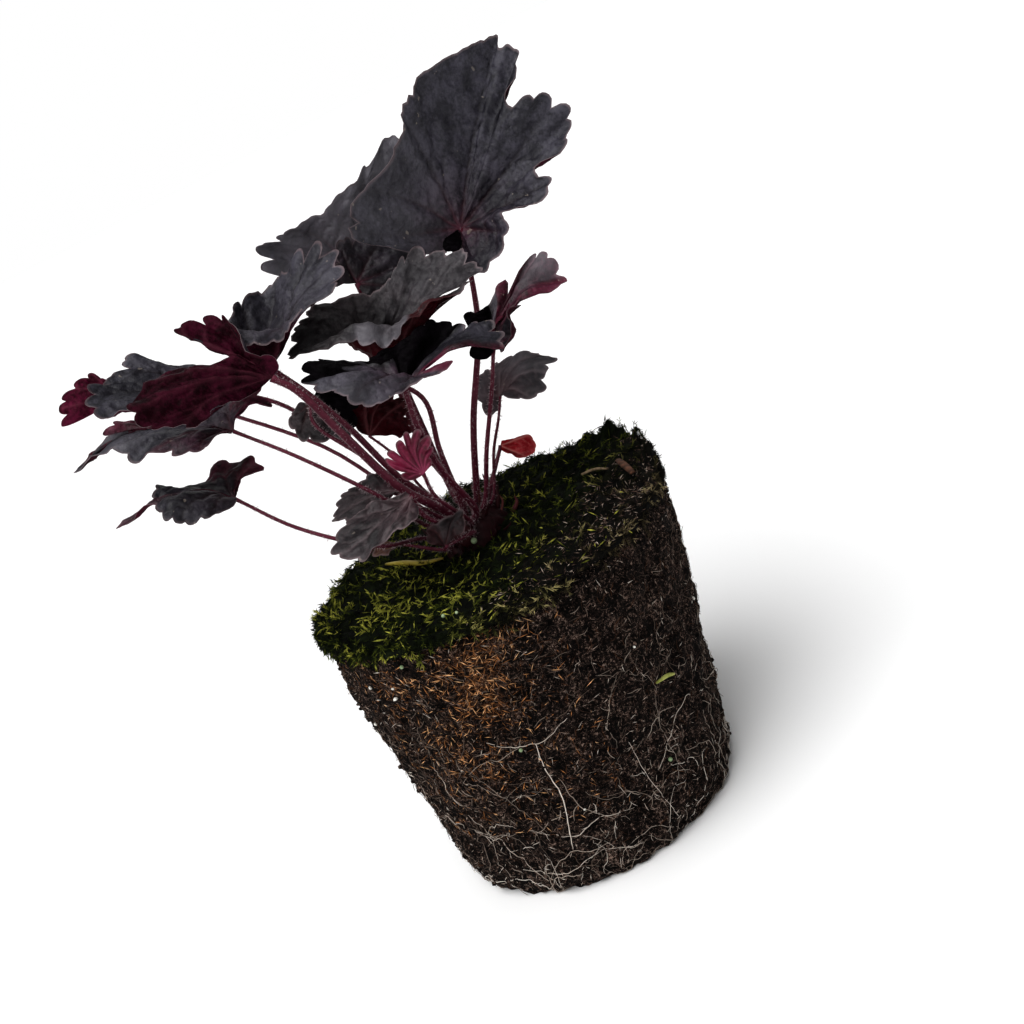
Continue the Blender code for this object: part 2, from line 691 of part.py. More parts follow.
def blade_point(leaf, across, along):
    """A point of the blade's middle surface. across counts veins, and along runs from junction to margin."""
    line = [Vector()]
    for step in range(len(leaf.veins[0])):
        line.append(smooth_point([Vector(vein[step]) for vein in leaf.veins], across))
    place = along * margin(leaf, across) * (len(line) - 1)
    return (Vector(leaf.junction) + smooth_point(line, place)) * MM


def blade(name, leaf, parts):
    """A thin lobed sheet, fanned out around the junction."""
    first, last = -BASAL_REACH, len(leaf.veins) - 1 + BASAL_REACH
    fan_steps = round((last - first) * STEPS_BETWEEN_VEINS)
    long_steps = len(leaf.veins[0]) * STEPS_PER_VEIN_POINT
    bm = bmesh.new()
    bmesh.ops.create_grid(bm, x_segments=fan_steps, y_segments=long_steps, size=1.0)
    for vert in bm.verts:
        across = first + (last - first) * (vert.co.x + 1) / 2
        vert.co = blade_point(leaf, across, (vert.co.y + 1) / 2)
    bmesh.ops.remove_doubles(bm, verts=bm.verts, dist=GAP / 10)
    obj = add_object(name + "_blade", mesh_from(bm, name + "_blade"), parts, leaf.colour)
    shell = obj.modifiers.new("thickness", "SOLIDIFY")
    shell.thickness = BLADE_THICK
    shell.offset = 0.0
    return obj


def tube(name, points, radii, parts, colour):
    """A round stalk along the points, with its ends closed."""
    curve = bpy.data.curves.new(name, "CURVE")
    curve.dimensions = "3D"
    curve.bevel_depth = 1.0
    curve.bevel_resolution = 1
    curve.use_fill_caps = True
    spline = curve.splines.new("POLY")
    spline.points.add(len(points) - 1)
    for spot, point, radius in zip(spline.points, points, radii):
        spot.co = (*point, 1.0)
        spot.radius = radius
    spline.use_smooth = True
    return add_object(name, curve, parts, colour)


def stalk(name, leaf, parts):
    """The leaf stalk, from the crown to just under the junction."""
    foot, normal = on_crown(*(math.radians(angle) for angle in leaf.foot))
    bends = [Vector(bend) * MM for bend in leaf.bends]
    junction = Vector(leaf.junction) * MM
    straight = STALK_RISE * ((bends + [junction])[0] - foot).length
    route = [foot, foot + normal * straight, *bends]
    route.append(junction + (route[-1] - junction).normalized() * leaf.drop * MM)
    points = []
    radii = []
    for step in range(STALK_STEPS + 1):
        share = step / STALK_STEPS
        points.append(smooth_point(route, share * (len(route) - 1)))
        radii.append(leaf.thick * MM / 2 * (1 - (1 - STALK_TIP_TAPER) * share**2))
    return tube(name + "_stalk", points, radii, parts, "stalk")


def dead_stalk(parts):
    """An old yellow stalk that lies on the moss."""
    height = MOSS_TOP + GAP + DEAD_STALK_RADIUS
    points = [Vector((x, y, height)) for x, y in DEAD_STALK_POINTS]
    radii = [DEAD_STALK_RADIUS] * len(points)
    return tube("dead_stalk", points, radii, parts, "stalk_dead")


def main():
    clear_scene()
    parts = make_collection("heuchera_plant")
    cutters = make_collection("cutters", hidden=True)
    root_ball(parts)
    moss_layer(parts, crown_cutter(cutters))
    crown(parts)
    dead_stalk(parts)
    for name, leaf in LEAVES.items():
        blade(name, leaf, parts)
        stalk(name, leaf, parts)


main()
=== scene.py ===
"""Coral bells (heuchera) lifted out of its pot: soil and roots, moss, crown, leaf stalks and leaf blades.

Metres, +Z up, with the root ball standing on the floor at the origin and -Y the front.
Lengths inside a section are in millimetres, and make_piece turns them into metres.
"""

import math
from collections import namedtuple
from itertools import combinations

import bpy
import numpy as np
from mathutils import Matrix, Vector, kdtree, noise


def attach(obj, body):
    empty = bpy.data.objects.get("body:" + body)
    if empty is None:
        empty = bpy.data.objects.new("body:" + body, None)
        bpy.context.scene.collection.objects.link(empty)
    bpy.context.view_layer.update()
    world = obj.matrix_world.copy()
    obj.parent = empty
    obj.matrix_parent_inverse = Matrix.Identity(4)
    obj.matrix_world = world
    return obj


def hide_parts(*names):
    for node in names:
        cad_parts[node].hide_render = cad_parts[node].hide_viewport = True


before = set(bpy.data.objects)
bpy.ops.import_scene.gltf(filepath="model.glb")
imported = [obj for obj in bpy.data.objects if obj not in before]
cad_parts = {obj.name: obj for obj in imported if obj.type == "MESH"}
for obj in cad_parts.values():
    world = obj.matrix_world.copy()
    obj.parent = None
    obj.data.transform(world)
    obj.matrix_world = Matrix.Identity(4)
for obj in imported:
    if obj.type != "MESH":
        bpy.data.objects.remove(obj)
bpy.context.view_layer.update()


# The studio: a pale floor that the root ball stands on, three wide soft lights as far off as the sky, and a
# plain white surround. The camera looks slightly down and is held tilted, so the plant leans.

FLOOR_RADIUS = 12.0
FLOOR_SIDES = 64
FLOOR_DROP = 0.0002
CAMERA_TARGET = Vector((0.0122, 0.0, 0.1073))
CAMERA_DISTANCE = 0.4499
CAMERA_RISE = math.radians(18.5)
CAMERA_TILT = math.radians(-27.4)
CAMERA_LENS = 49.22
CAMERA_SENSOR = 36.0
CAMERA_NEAREST = 0.01
TONE_GAMMA = 0.88
# How white the surround looks, and how much light it gives.
SURROUND_WHITE = 1.0
SURROUND_LIGHT = 0.22
# Each: the way that the light comes from, its strength, and how wide the source looks, in degrees.
LAMPS = {
    "lamp_top": ((-0.30, -0.35, 0.90), 3.0, 52.0),
    "lamp_front": ((-0.25, -0.90, 0.30), 0.80, 50.0),
    "lamp_back": ((0.25, 0.90, 0.40), 0.75, 70.0),
}

stage = bpy.data.collections.new("studio")
plant = bpy.data.collections.new("plant")
for group in (stage, plant):
    bpy.context.scene.collection.children.link(group)

camera = bpy.data.objects.new("camera", bpy.data.cameras.new("camera"))
camera.data.lens = CAMERA_LENS
camera.data.sensor_width = CAMERA_SENSOR
camera.data.sensor_fit = "HORIZONTAL"
camera.data.clip_start = CAMERA_NEAREST
turn = Matrix.Rotation(math.pi / 2 - CAMERA_RISE, 4, "X") @ Matrix.Rotation(CAMERA_TILT, 4, "Z")
camera.matrix_world = Matrix.Translation(CAMERA_TARGET) @ turn @ Matrix.Translation((0, 0, CAMERA_DISTANCE))
stage.objects.link(camera)
bpy.context.scene.camera = camera
bpy.context.scene.view_settings.view_transform = "Standard"
bpy.context.scene.view_settings.gamma = TONE_GAMMA

for name, (way, strength, width) in LAMPS.items():
    lamp = bpy.data.objects.new(name, bpy.data.lights.new(name, "SUN"))
    lamp.data.energy = strength
    lamp.data.angle = math.radians(width)
    lamp.rotation_euler = Vector(way).to_track_quat("Z", "Y").to_euler()
    stage.objects.link(lamp)

world = bpy.data.worlds.new("surround")
world.use_nodes = True
sky_nodes = world.node_tree.nodes
seen = sky_nodes.new("ShaderNodeLightPath").outputs["Is Camera Ray"]
bright = sky_nodes.new("ShaderNodeMapRange")
bright.inputs["To Min"].default_value = SURROUND_LIGHT
bright.inputs["To Max"].default_value = SURROUND_WHITE
world.node_tree.links.new(seen, bright.inputs["Value"])
world.node_tree.links.new(bright.outputs["Result"], sky_nodes["Background"].inputs["Strength"])
sky_nodes["Background"].inputs["Color"].default_value = (1.0, 1.0, 1.0, 1.0)
bpy.context.scene.world = world


def new_material(name, colour=(0.5, 0.5, 0.5, 1.0), **settings):
    """A Principled material. A setting's name is its socket's, with _ for a space."""
    material = bpy.data.materials.new(name)
    material.use_nodes = True
    shader = material.node_tree.nodes["Principled BSDF"]
    shader.inputs["Base Color"].default_value = colour
    for socket, value in settings.items():
        shader.inputs[socket.replace("_", " ")].default_value = value
    return material


floor_mesh = bpy.data.meshes.new("floor")
ring = [math.tau * step / FLOOR_SIDES for step in range(FLOOR_SIDES)]
floor_points = [(FLOOR_RADIUS * math.cos(a), FLOOR_RADIUS * math.sin(a), -FLOOR_DROP) for a in ring]
floor_mesh.from_pydata(floor_points, [], [list(range(FLOOR_SIDES))])
floor_mesh.materials.append(new_material("floor_paint", (0.95, 0.95, 0.95, 1.0), Roughness=0.8))
floor = bpy.data.objects.new("floor", floor_mesh)
stage.objects.link(floor)


# The root ball: peat and coir soil, still in the shape of its pot, with a crumbly side and a worn edge.
# Nothing holds it but its roots. The crumbs that stick out of its side are a piece of their own.

MM = 0.001
BALL_TOP_RADIUS = 61.0
BALL_BOTTOM_RADIUS = 48.5
BALL_HEIGHT = 100.0
BALL_LEAN = 6.0
SOIL_ROUND_STEPS = 330
SOIL_SIDE_ROWS = 112
SOIL_CAP_ROWS = 9
SOIL_EDGE_WEAR = 1.6
SOIL_EDGE_REACH = 2.0
# How far apart each size of lump is, and how far it stands out of the soil's side.
SOIL_LUMPS = ((24.0, 1.5), (9.0, 1.4), (4.2, 1.3), (1.9, 0.7))
# Things on the side stay this far from its edges. A length on the side turns into a bearing at this radius.
SIDE_MARGIN = 0.4
SIDE_RADIUS = 55.0
# Orange patches of coir in the side: bearing in degrees, height, half width, half height, and how strong.
COIR_PATCHES = (
    (-107, 91, 10, 9, 1.0), (-111, 77, 8, 8, 0.48), (-127, 66, 8, 12, 0.24), (-120, 53, 7, 8, 0.18),
    (-134, 90, 9, 5, 0.3),
)
PEAT_COLOURS = (
    (0.45, (0.0008, 0.0005, 0.0004)), (0.56, (0.0070, 0.0042, 0.0032)), (0.655, (0.080, 0.050, 0.040)),
    (0.75, (0.42, 0.30, 0.24)),
)
COIR_COLOURS = (
    (0.42, (0.002, 0.001, 0.0006)), (0.55, (0.022, 0.010, 0.005)), (0.67, (0.20, 0.088, 0.034)),
    (0.82, (0.60, 0.32, 0.14)),
)


def lumps(points, size, seed=0.0):
    """Smooth noise from about -1 to 1 at each point, with lumps this far apart."""
    points = np.asarray(points, float)
    moved = points.reshape(-1, 3) / size + seed * 17.31
    return np.array([noise.noise(Vector(point)) for point in moved]).reshape(points.shape[:-1])


def unit(vectors):
    return vectors / np.maximum(np.linalg.norm(vectors, axis=-1, keepdims=True), 1e-9)


def make_piece(name, points, faces, material, slot, nodes=(), **marks):
    """A piece from points in millimetres. A mark is one number for each point, which a material can read."""
    mesh = bpy.data.meshes.new(name)
    mesh.from_pydata((np.asarray(points).reshape(-1, 3) * MM).tolist(), [], faces, shade_flat=False)
    for mark, values in marks.items():
        store = mesh.attributes.new(mark, "FLOAT", "POINT")
        store.data.foreach_set("value", np.asarray(values, np.float32).reshape(-1))
    mesh.materials.append(material)
    obj = bpy.data.objects.new(name, mesh)
    plant.objects.link(obj)
    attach(obj, "root")
    if nodes:
        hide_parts(*nodes)
    return obj


def grid_faces(rows, columns, closed=False):
    """Quads over a grid of points, row by row. A closed grid's last column joins its first."""
    row = np.arange(rows - 1)[:, None] * columns
    column = np.arange(columns if closed else columns - 1)[None, :]
    beside = (column + 1) % columns
    corners = (row + column, row + beside, row + columns + beside, row + columns + column)
    return np.stack(corners, -1).reshape(-1, 4)


def body_faces(rows, columns):
    """Faces of a closed body made of rings of points, from its top ring down."""
    faces = grid_faces(rows, columns, closed=True)[:, ::-1].tolist()
    faces.append(list(range(columns)))
    faces.append(list(range((rows - 1) * columns, rows * columns))[::-1])
    return faces


def add_node(material, kind, inputs=None, **settings):
    """A node with these settings. An input is a plain value or another node's socket."""
    tree = material.node_tree
    node = tree.nodes.new("ShaderNode" + kind)
    for setting, value in settings.items():
        setattr(node, setting, value)
    for socket, value in (inputs or {}).items():
        if isinstance(value, bpy.types.NodeSocket):
            tree.links.new(value, node.inputs[socket])
        else:
            node.inputs[socket].default_value = value
    return node


def place_coords(material):
    return add_node(material, "TexCoord").outputs["Object"]


def speckle(material, scale, detail=3.0, roughness=0.6):
    """Fine noise in the material, this many lumps to the metre."""
    inputs = {"Vector": place_coords(material), "Scale": scale, "Detail": detail, "Roughness": roughness}
    return add_node(material, "TexNoise", inputs).outputs["Fac"]


def read_mark(material, mark):
    return add_node(material, "Attribute", attribute_name=mark).outputs["Fac"]


def maths(material, operation, *values):
    return add_node(material, "Math", dict(enumerate(values)), operation=operation).outputs[0]


def shade(material, share, stops):
    """A colour ramp along share. stops holds (place, colour)."""
    node = add_node(material, "ValToRGB", {"Fac": share})
    while len(node.color_ramp.elements) < len(stops):
        node.color_ramp.elements.new(1.0)
    for element, (place, colour) in zip(node.color_ramp.elements, stops):
        element.position = place
        element.color = (*colour, 1.0)
    return node.outputs["Color"]


def blend_colours(material, share, *colours):
    """The first colour where share is 0, and the second where it is 1."""
    first, second = (c if isinstance(c, bpy.types.NodeSocket) else (*c, 1.0) for c in colours)
    return add_node(material, "Mix", {0: share, 6: first, 7: second}, data_type="RGBA").outputs[2]


def finish_material(material, colour, roughness=None, bump=()):
    """Links the colour and roughness, and stacks each bump: (height socket, distance in metres, strength)."""
    found = {"Base Color": colour}
    if roughness is not None:
        found["Roughness"] = roughness
    for height, distance, strength in bump:
        inputs = {"Height": height, "Distance": distance, "Strength": strength}
        if "Normal" in found:
            inputs["Normal"] = found["Normal"]
        found["Normal"] = add_node(material, "Bump", inputs).outputs["Normal"]
    shader = material.node_tree.nodes["Principled BSDF"]
    for socket, value in found.items():
        material.node_tree.links.new(value, shader.inputs[socket])
    return material


def soil_place(bearing, height, out=0.0):
    """Points on the root ball's rough side, at these bearings in radians and heights."""
    bearing, height = np.broadcast_arrays(np.asarray(bearing, float), np.asarray(height, float))
    outward = np.stack([np.cos(bearing), np.sin(bearing), np.zeros_like(bearing)], -1)
    share = np.clip(height / BALL_HEIGHT, 0, 1)
    radius = BALL_BOTTOM_RADIUS + (BALL_TOP_RADIUS - BALL_BOTTOM_RADIUS) * share
    points = outward * radius[..., None]
    points[..., 2] = height
    points[..., 0] -= BALL_LEAN * (1 - share)
    rise = sum(depth * lumps(points, size, depth) for size, depth in SOIL_LUMPS)
    from_edge = np.minimum(height, BALL_HEIGHT - height)
    worn = SOIL_EDGE_WEAR * np.exp(-np.maximum(from_edge, 0) / SOIL_EDGE_REACH)
    worn = worn * (1.2 + lumps(points, 9.0, 7.0))
    return points + outward * (rise - worn + out)[..., None]


def hair_lines(material, scale, width):
    """Thin wandering lines in the material, 1 along the middle of each: the finest fibres of the peat."""
    away = maths(material, "ABSOLUTE", maths(material, "SUBTRACT", speckle(material, scale, 2.0), 0.5))
    inputs = {"Value": away, "From Min": 0.0, "From Max": width, "To Min": 1.0, "To Max": 0.0}
    return add_node(material, "MapRange", inputs).outputs["Result"]


def soil_material():
    material = new_material("peat_and_coir", Roughness=0.95, Specular_IOR_Level=0.08)
    grain = speckle(material, 1000.0, 4.0, 0.8)
    patches = speckle(material, 60.0, 2.0)
    long_fibres, fine_fibres = hair_lines(material, 450.0, 0.022), hair_lines(material, 800.0, 0.035)
    fibres = maths(material, "MAXIMUM", long_fibres, fine_fibres)
    fibres = maths(material, "MULTIPLY", fibres, speckle(material, 330.0, 2.0))
    tone = maths(material, "ADD", grain, maths(material, "MULTIPLY", fibres, 0.30))
    # Painted shade: patches about 6 mm across darken the soil as shaded hollows would, and lighten it between
    # them.
    painted_hollow_shade = maths(material, "SUBTRACT", speckle(material, 170.0, 2.0), 0.52)
    tone = maths(material, "ADD", tone, maths(material, "MULTIPLY", painted_hollow_shade, 0.32))
    warm = maths(material, "MULTIPLY", read_mark(material, "coir"), patches)
    peat, coir = shade(material, tone, PEAT_COLOURS), shade(material, tone, COIR_COLOURS)
    colour = blend_colours(material, warm, peat, coir)
    return finish_material(material, colour, bump=((grain, 0.0010, 1.0), (fibres, 0.0004, 0.7)))


def coir_share(points):
    """1 in the orange patches of coir at the front left, and 0 away from them."""
    bearing = np.degrees(np.arctan2(points[..., 1], points[..., 0]))
    share = 0.0
    for middle, height, across, down, strength in COIR_PATCHES:
        apart = ((bearing - middle) / across) ** 2
        share = share + strength * np.exp(-apart - ((points[..., 2] - height) / down) ** 2)
    return np.clip(share * (0.75 + 0.9 * lumps(points, 6.0, 3.0)), 0, 1)


NEEDLE_POINTS = 5


def needles(starts, ends, half_width, widest=0.45):
    """Points and faces of thin straight slivers, three-sided and pointed at both ends."""
    ahead = unit(ends - starts)
    across = unit(np.cross(ahead, (0.31, 0.52, 0.79)))
    other = np.cross(ahead, across)
    angle = np.linspace(0, math.tau, 3, endpoint=False)[:, None]
    ring = across[:, None] * np.cos(angle) + other[:, None] * np.sin(angle)
    middle = starts + (ends - starts) * widest
    ring = middle[:, None] + ring * np.broadcast_to(half_width, len(starts))[:, None, None]
    points = np.concatenate([starts[:, None], ring, ends[:, None]], 1)
    sides = np.array([(0, 2, 1), (0, 3, 2), (0, 1, 3), (4, 1, 2), (4, 2, 3), (4, 3, 1)])
    first = NEEDLE_POINTS * np.arange(len(starts))[:, None, None]
    return points, (sides[None] + first).reshape(-1, 3).tolist()


def dashes_on_soil(draw, bearing, height, length, lift):
    """Both ends of short straight fibres that lie every way on the root ball's side, some standing off it."""
    count = len(bearing)
    heading = draw.uniform(0, math.tau, count)
    reach = draw.uniform(*length, count)
    starts = soil_place(bearing, height, out=draw.uniform(-0.1, 0.5 * lift, count))
    far_height = np.clip(height + reach * np.sin(heading), SIDE_MARGIN, BALL_HEIGHT - SIDE_MARGIN)
    far_bearing = bearing + reach * np.cos(heading) / SIDE_RADIUS
    return starts, soil_place(far_bearing, far_height, out=draw.uniform(-0.2, lift, count))


peat = soil_material()
edge_in = np.linspace(0.04, 1.0, SOIL_CAP_ROWS, endpoint=False)
bearings = np.linspace(0, math.tau, SOIL_ROUND_STEPS, endpoint=False)
side = soil_place(bearings[None, :], np.linspace(BALL_HEIGHT, 0.0, SOIL_SIDE_ROWS)[:, None])
shrink = np.stack([edge_in, edge_in, np.ones_like(edge_in)], -1)[:, None, :]
top_cap = side[:1] * shrink
under_cap = side[-1:] * shrink[::-1]
under_cap[..., 2] += 0.9 * np.abs(lumps(under_cap, 6.0, 4.0))
soil_points = np.concatenate([top_cap, side, under_cap])
soil_points[..., 2] = np.clip(soil_points[..., 2], 0.0, BALL_HEIGHT)
soil_faces = body_faces(len(soil_points), SOIL_ROUND_STEPS)
make_piece("soil_block", soil_points, soil_faces, peat, "soil", ["root_ball"], coir=coir_share(soil_points))

CRUMB_COUNT = 1500
CRUMB_SIZES = (0.35, 1.15)
CRUMB_HEIGHTS = (1.5, 99.0)
# A crumb starts as 12 corners of an icosahedron, one unit from the middle.
GOLDEN = (1 + math.sqrt(5)) / 2
LUMP_CORNERS = np.array(
    [(a, b * GOLDEN, 0) for a in (-1, 1) for b in (-1, 1)]
    + [(0, a, b * GOLDEN) for a in (-1, 1) for b in (-1, 1)]
    + [(b * GOLDEN, 0, a) for a in (-1, 1) for b in (-1, 1)]
) / math.sqrt(1 + GOLDEN**2)


def lump_faces():
    """The 20 faces of the lump: each three corners that lie next to each other, facing out."""
    faces = []
    near = np.linalg.norm(LUMP_CORNERS[:, None] - LUMP_CORNERS[None], axis=-1) < 1.1
    for a, b, c in combinations(range(len(LUMP_CORNERS)), 3):
        if near[a, b] and near[b, c] and near[a, c]:
            outward = np.linalg.det(LUMP_CORNERS[[a, b, c]]) > 0
            faces.append((a, b, c) if outward else (a, c, b))
    return np.array(faces)


LUMP_FACES = lump_faces()


def scatter_lumps(places, sizes, draw, squash=(0.6, 1.3)):
    """Points and faces of rough lumps at these places, no two alike."""
    count = len(places)
    shape = LUMP_CORNERS[None] * draw.uniform(*squash, (count, 1, 3))
    shape = shape * draw.uniform(0.75, 1.2, (count, len(LUMP_CORNERS), 1)) * sizes[:, None, None]
    faces = LUMP_FACES[None] + np.arange(count)[:, None, None] * len(LUMP_CORNERS)
    return shape + places[:, None, :], faces.reshape(-1, 3).tolist()


draw = np.random.RandomState(11)
crumb_height = draw.uniform(*CRUMB_HEIGHTS, CRUMB_COUNT)
crumb_places = soil_place(draw.uniform(0, math.tau, CRUMB_COUNT), crumb_height, out=0.1)
crumb_sizes = draw.uniform(*CRUMB_SIZES, CRUMB_COUNT) * draw.uniform(0.5, 1.0, CRUMB_COUNT)
crumb_points, crumb_faces = scatter_lumps(crumb_places, crumb_sizes, draw)
make_piece("soil_crumbs", crumb_points, crumb_faces, peat, "soil", coir=coir_share(crumb_points))

PEAT_FIBRE_COUNT = 11000
PEAT_FIBRE_LENGTH = (0.6, 2.6)
PEAT_FIBRE_WIDTH = (0.05, 0.12)
PEAT_FIBRE_HEIGHTS = (0.6, 99.4)


def marked_tone(material, grain, mark_share, grain_share):
    """Each point's tone mark and the material's grain, added up in these shares."""
    tone = maths(material, "MULTIPLY", read_mark(material, "tone"), mark_share)
    return maths(material, "ADD", tone, maths(material, "MULTIPLY", grain, grain_share))


def root_material(name, *stops):
    material = new_material(name, Roughness=0.75, Specular_IOR_Level=0.15)
    tint = speckle(material, 260.0)
    colour = shade(material, marked_tone(material, tint, 0.8, 0.3), stops)
    return finish_material(material, colour, bump=((tint, 0.0002, 0.4),))


peat_fibre = root_material(
    "peat_fibre",
    (0.15, (0.003, 0.0018, 0.0014)), (0.45, (0.032, 0.018, 0.014)), (0.72, (0.26, 0.165, 0.130)),
    (0.92, (0.80, 0.66, 0.55)),
)
bearing = draw.uniform(0, math.tau, PEAT_FIBRE_COUNT)
height = draw.uniform(*PEAT_FIBRE_HEIGHTS, PEAT_FIBRE_COUNT)
starts, ends = dashes_on_soil(draw, bearing, height, PEAT_FIBRE_LENGTH, 0.5)
points, faces = needles(starts, ends, draw.uniform(*PEAT_FIBRE_WIDTH, PEAT_FIBRE_COUNT))
in_hollow = np.clip(0.9 + 0.8 * lumps(starts, 6.0, 12.0), 0.1, 1.25)
fibre_tone = np.repeat(in_hollow * draw.uniform(0, 1, PEAT_FIBRE_COUNT) ** 1.8, NEEDLE_POINTS)
make_piece("peat_fibres", points, faces, peat_fibre, "soil", tone=fibre_tone)


# The roots: the plant's own feeding roots, which ran round the inside of the pot and hold the soil together.
# A few are thick and pale brown. The rest are hair-fine, grey-white, and thickest low down. Brown coir
# fibres from the potting mix stick out between them.

FINE_ROOT_COUNT = 260
FINE_ROOT_STEPS = 22
FINE_ROOT_STEP = (0.7, 1.6)
FINE_ROOT_WIDTH = (0.06, 0.15)
FINE_ROOT_HEIGHTS = (0.5, 80.0)
SHORT_ROOT_COUNT = 1500
SHORT_ROOT_STEPS = 5
SHORT_ROOT_STEP = (0.4, 1.5)
SHORT_ROOT_WIDTH = (0.05, 0.13)
SHORT_ROOT_HEIGHTS = (1.0, 99.0)
PALE_DASHES = 900
PALE_DASH_LENGTH = (1.0, 3.6)
PALE_DASH_WIDTH = (0.09, 0.17)
COIR_COUNT = 900
COIR_STEPS = 5
COIR_STEP = (0.4, 1.3)
COIR_WIDTH = (0.05, 0.13)
COIR_HEIGHTS = (8.0, 99.0)
COIR_DASHES = 3000
SHRED_BEARINGS = (-155, -80)
SHRED_HEIGHTS = (25, 99.5)
SHRED_LENGTH = (0.8, 4.2)
SHRED_WIDTH = (0.06, 0.18)
THICK_ROOT_STEPS = 40
THICK_ROOT_TONE = (0.62, 0.9)
# Each: half width, then its course as (bearing in degrees, height).
THICK_ROOTS = (
    (0.17, ((-101, 58), (-102, 48), (-101, 37), (-104, 24), (-106, 17))),
    (0.12, ((-115, 64), (-108, 60), (-101, 58), (-95, 59), (-89, 62))),
    (0.12, ((-140, 36), (-133, 26), (-127, 15), (-122, 6))),
    (0.11, ((-74, 43), (-72, 30), (-69, 18), (-66, 8))),
    (0.11, ((-69, 24), (-58, 34), (-46, 40), (-43, 39))),
    (0.12, ((-118, 28), (-104, 22), (-92, 24), (-80, 20))),
    (0.11, ((-130, 12), (-112, 9), (-98, 12), (-82, 7))),
    (0.13, ((-38, 30), (-35, 20), (-31, 10), (-30, 3))),
    (0.16, ((60, 70), (66, 48), (60, 30), (72, 9))),
    (0.14, ((120, 52), (128, 34), (140, 20), (158, 14))),
    (0.13, ((20, 44), (8, 28), (-2, 16), (-16, 10))),
)


def cubic(before, start, end, after, t):
    """A point on the Catmull-Rom curve from start, where t is 0, to end, where it is 1."""
    return 0.5 * (
        2 * start
        + (end - before) * t
        + (2 * before - 5 * start + 4 * end - after) * t**2
        + (3 * start - before - 3 * end + after) * t**3
    )


def catmull(points, place):
    """A smooth curve through points, which run along the first axis. place rises by 1 at each one."""
    points = np.asarray(points, float)
    last = len(points) - 1
    place = np.asarray(place, float)
    index = np.clip(np.floor(place).astype(int), 0, last - 1)
    rest = (None,) * (points.ndim - 1)
    t = (place - index)[(..., *rest)]
    start, end = points[index], points[index + 1]
    before = np.where((index > 0)[(..., *rest)], points[np.maximum(index - 1, 0)], 2 * start - end)
    after = np.where((index < last - 1)[(..., *rest)], points[np.minimum(index + 2, last)], 2 * end - start)
    return cubic(before, start, end, after, t)


def tubes(paths, radii, sides=3):
    """Points and faces of closed round strands. paths is (strands, steps, 3), and radii (strands, steps)."""
    paths = np.asarray(paths, float)
    count, steps = paths.shape[:2]
    along = unit(np.gradient(paths, axis=1))
    across = [unit(np.cross(along[:, 0], (0.31, 0.52, 0.79)))]
    for step in range(1, steps):
        ahead = along[:, step]
        across.append(unit(across[-1] - ahead * (across[-1] * ahead).sum(-1, keepdims=True)))
    across = np.stack(across, 1)
    other = np.cross(along, across)
    angle = np.linspace(0, math.tau, sides, endpoint=False)[:, None]
    ring = across[:, :, None] * np.cos(angle) + other[:, :, None] * np.sin(angle)
    points = paths[:, :, None] + ring * np.asarray(radii)[:, :, None, None]
    first = np.arange(count)[:, None, None] * steps * sides
    walls = (first + grid_faces(steps, sides, closed=True)[None]).reshape(-1, 4)
    starts = first[:, 0] + np.arange(sides)[::-1]
    ends = first[:, 0] + (steps - 1) * sides + np.arange(sides)
    return points, walls.tolist() + starts.tolist() + ends.tolist()


def per_point(points, values):
    """One value for each strand, repeated on all of its points."""
    return np.broadcast_to(np.asarray(values)[:, None, None], points.shape[:3])


def wander(draw, count, steps, step, low, high, out, curl=0.35, sink=1.0):
    """Courses over the root ball's side that change direction a little at each step."""
    heading = draw.uniform(0, math.tau, count)[:, None]
    heading = heading + np.cumsum(draw.normal(0, curl, (count, steps)), axis=1)
    length = draw.uniform(*step, count)[:, None]
    start = low + (high - low) * draw.uniform(0, 1, count) ** sink
    height = start[:, None] + np.cumsum(length * np.sin(heading), axis=1)
    turned = np.cumsum(length * np.cos(heading), axis=1) / SIDE_RADIUS
    bearing = draw.uniform(0, math.tau, count)[:, None] + turned
    return soil_place(bearing, np.clip(height, SIDE_MARGIN, BALL_HEIGHT - SIDE_MARGIN), out=out)


def tip_lift(draw, count, steps, rise, most):
    """How far strands stand off the soil: near it at the start, and more or less towards the tip."""
    lift = draw.uniform(-0.1, 0.3, (count, 1))
    return lift + rise * np.linspace(0, 1, steps) * draw.uniform(0, most, (count, 1))


def taper(steps, tip=0.35):
    """Half widths along a strand: full in the middle, thin at the ends."""
    return tip + (1 - tip) * np.sin(np.linspace(0.12, 0.9, steps) * math.pi)


pale_root = root_material(
    "pale_root",
    (0.15, (0.020, 0.013, 0.010)), (0.45, (0.14, 0.100, 0.078)), (0.70, (0.44, 0.37, 0.31)),
    (0.95, (0.86, 0.79, 0.71)),
)
coir_fibre = root_material(
    "coir_fibre",
    (0.15, (0.014, 0.006, 0.003)), (0.45, (0.13, 0.050, 0.018)), (0.70, (0.56, 0.24, 0.082)),
    (0.92, (0.95, 0.58, 0.30)),
)

draw = np.random.RandomState(21)
lift = draw.uniform(-0.1, 0.45, (FINE_ROOT_COUNT, 1))
lift = lift + 0.15 * draw.normal(0, 1, (FINE_ROOT_COUNT, FINE_ROOT_STEPS))
courses = wander(draw, FINE_ROOT_COUNT, FINE_ROOT_STEPS, FINE_ROOT_STEP, *FINE_ROOT_HEIGHTS, lift, 0.26, 1.6)
points, faces = tubes(courses, draw.uniform(*FINE_ROOT_WIDTH, (FINE_ROOT_COUNT, 1)) * taper(FINE_ROOT_STEPS))
tone = draw.uniform(0.25, 1, FINE_ROOT_COUNT) ** 0.8 * (1.15 - courses[:, 0, 2] / 100)
make_piece("fine_roots", points, faces, pale_root, "roots", tone=per_point(points, tone))

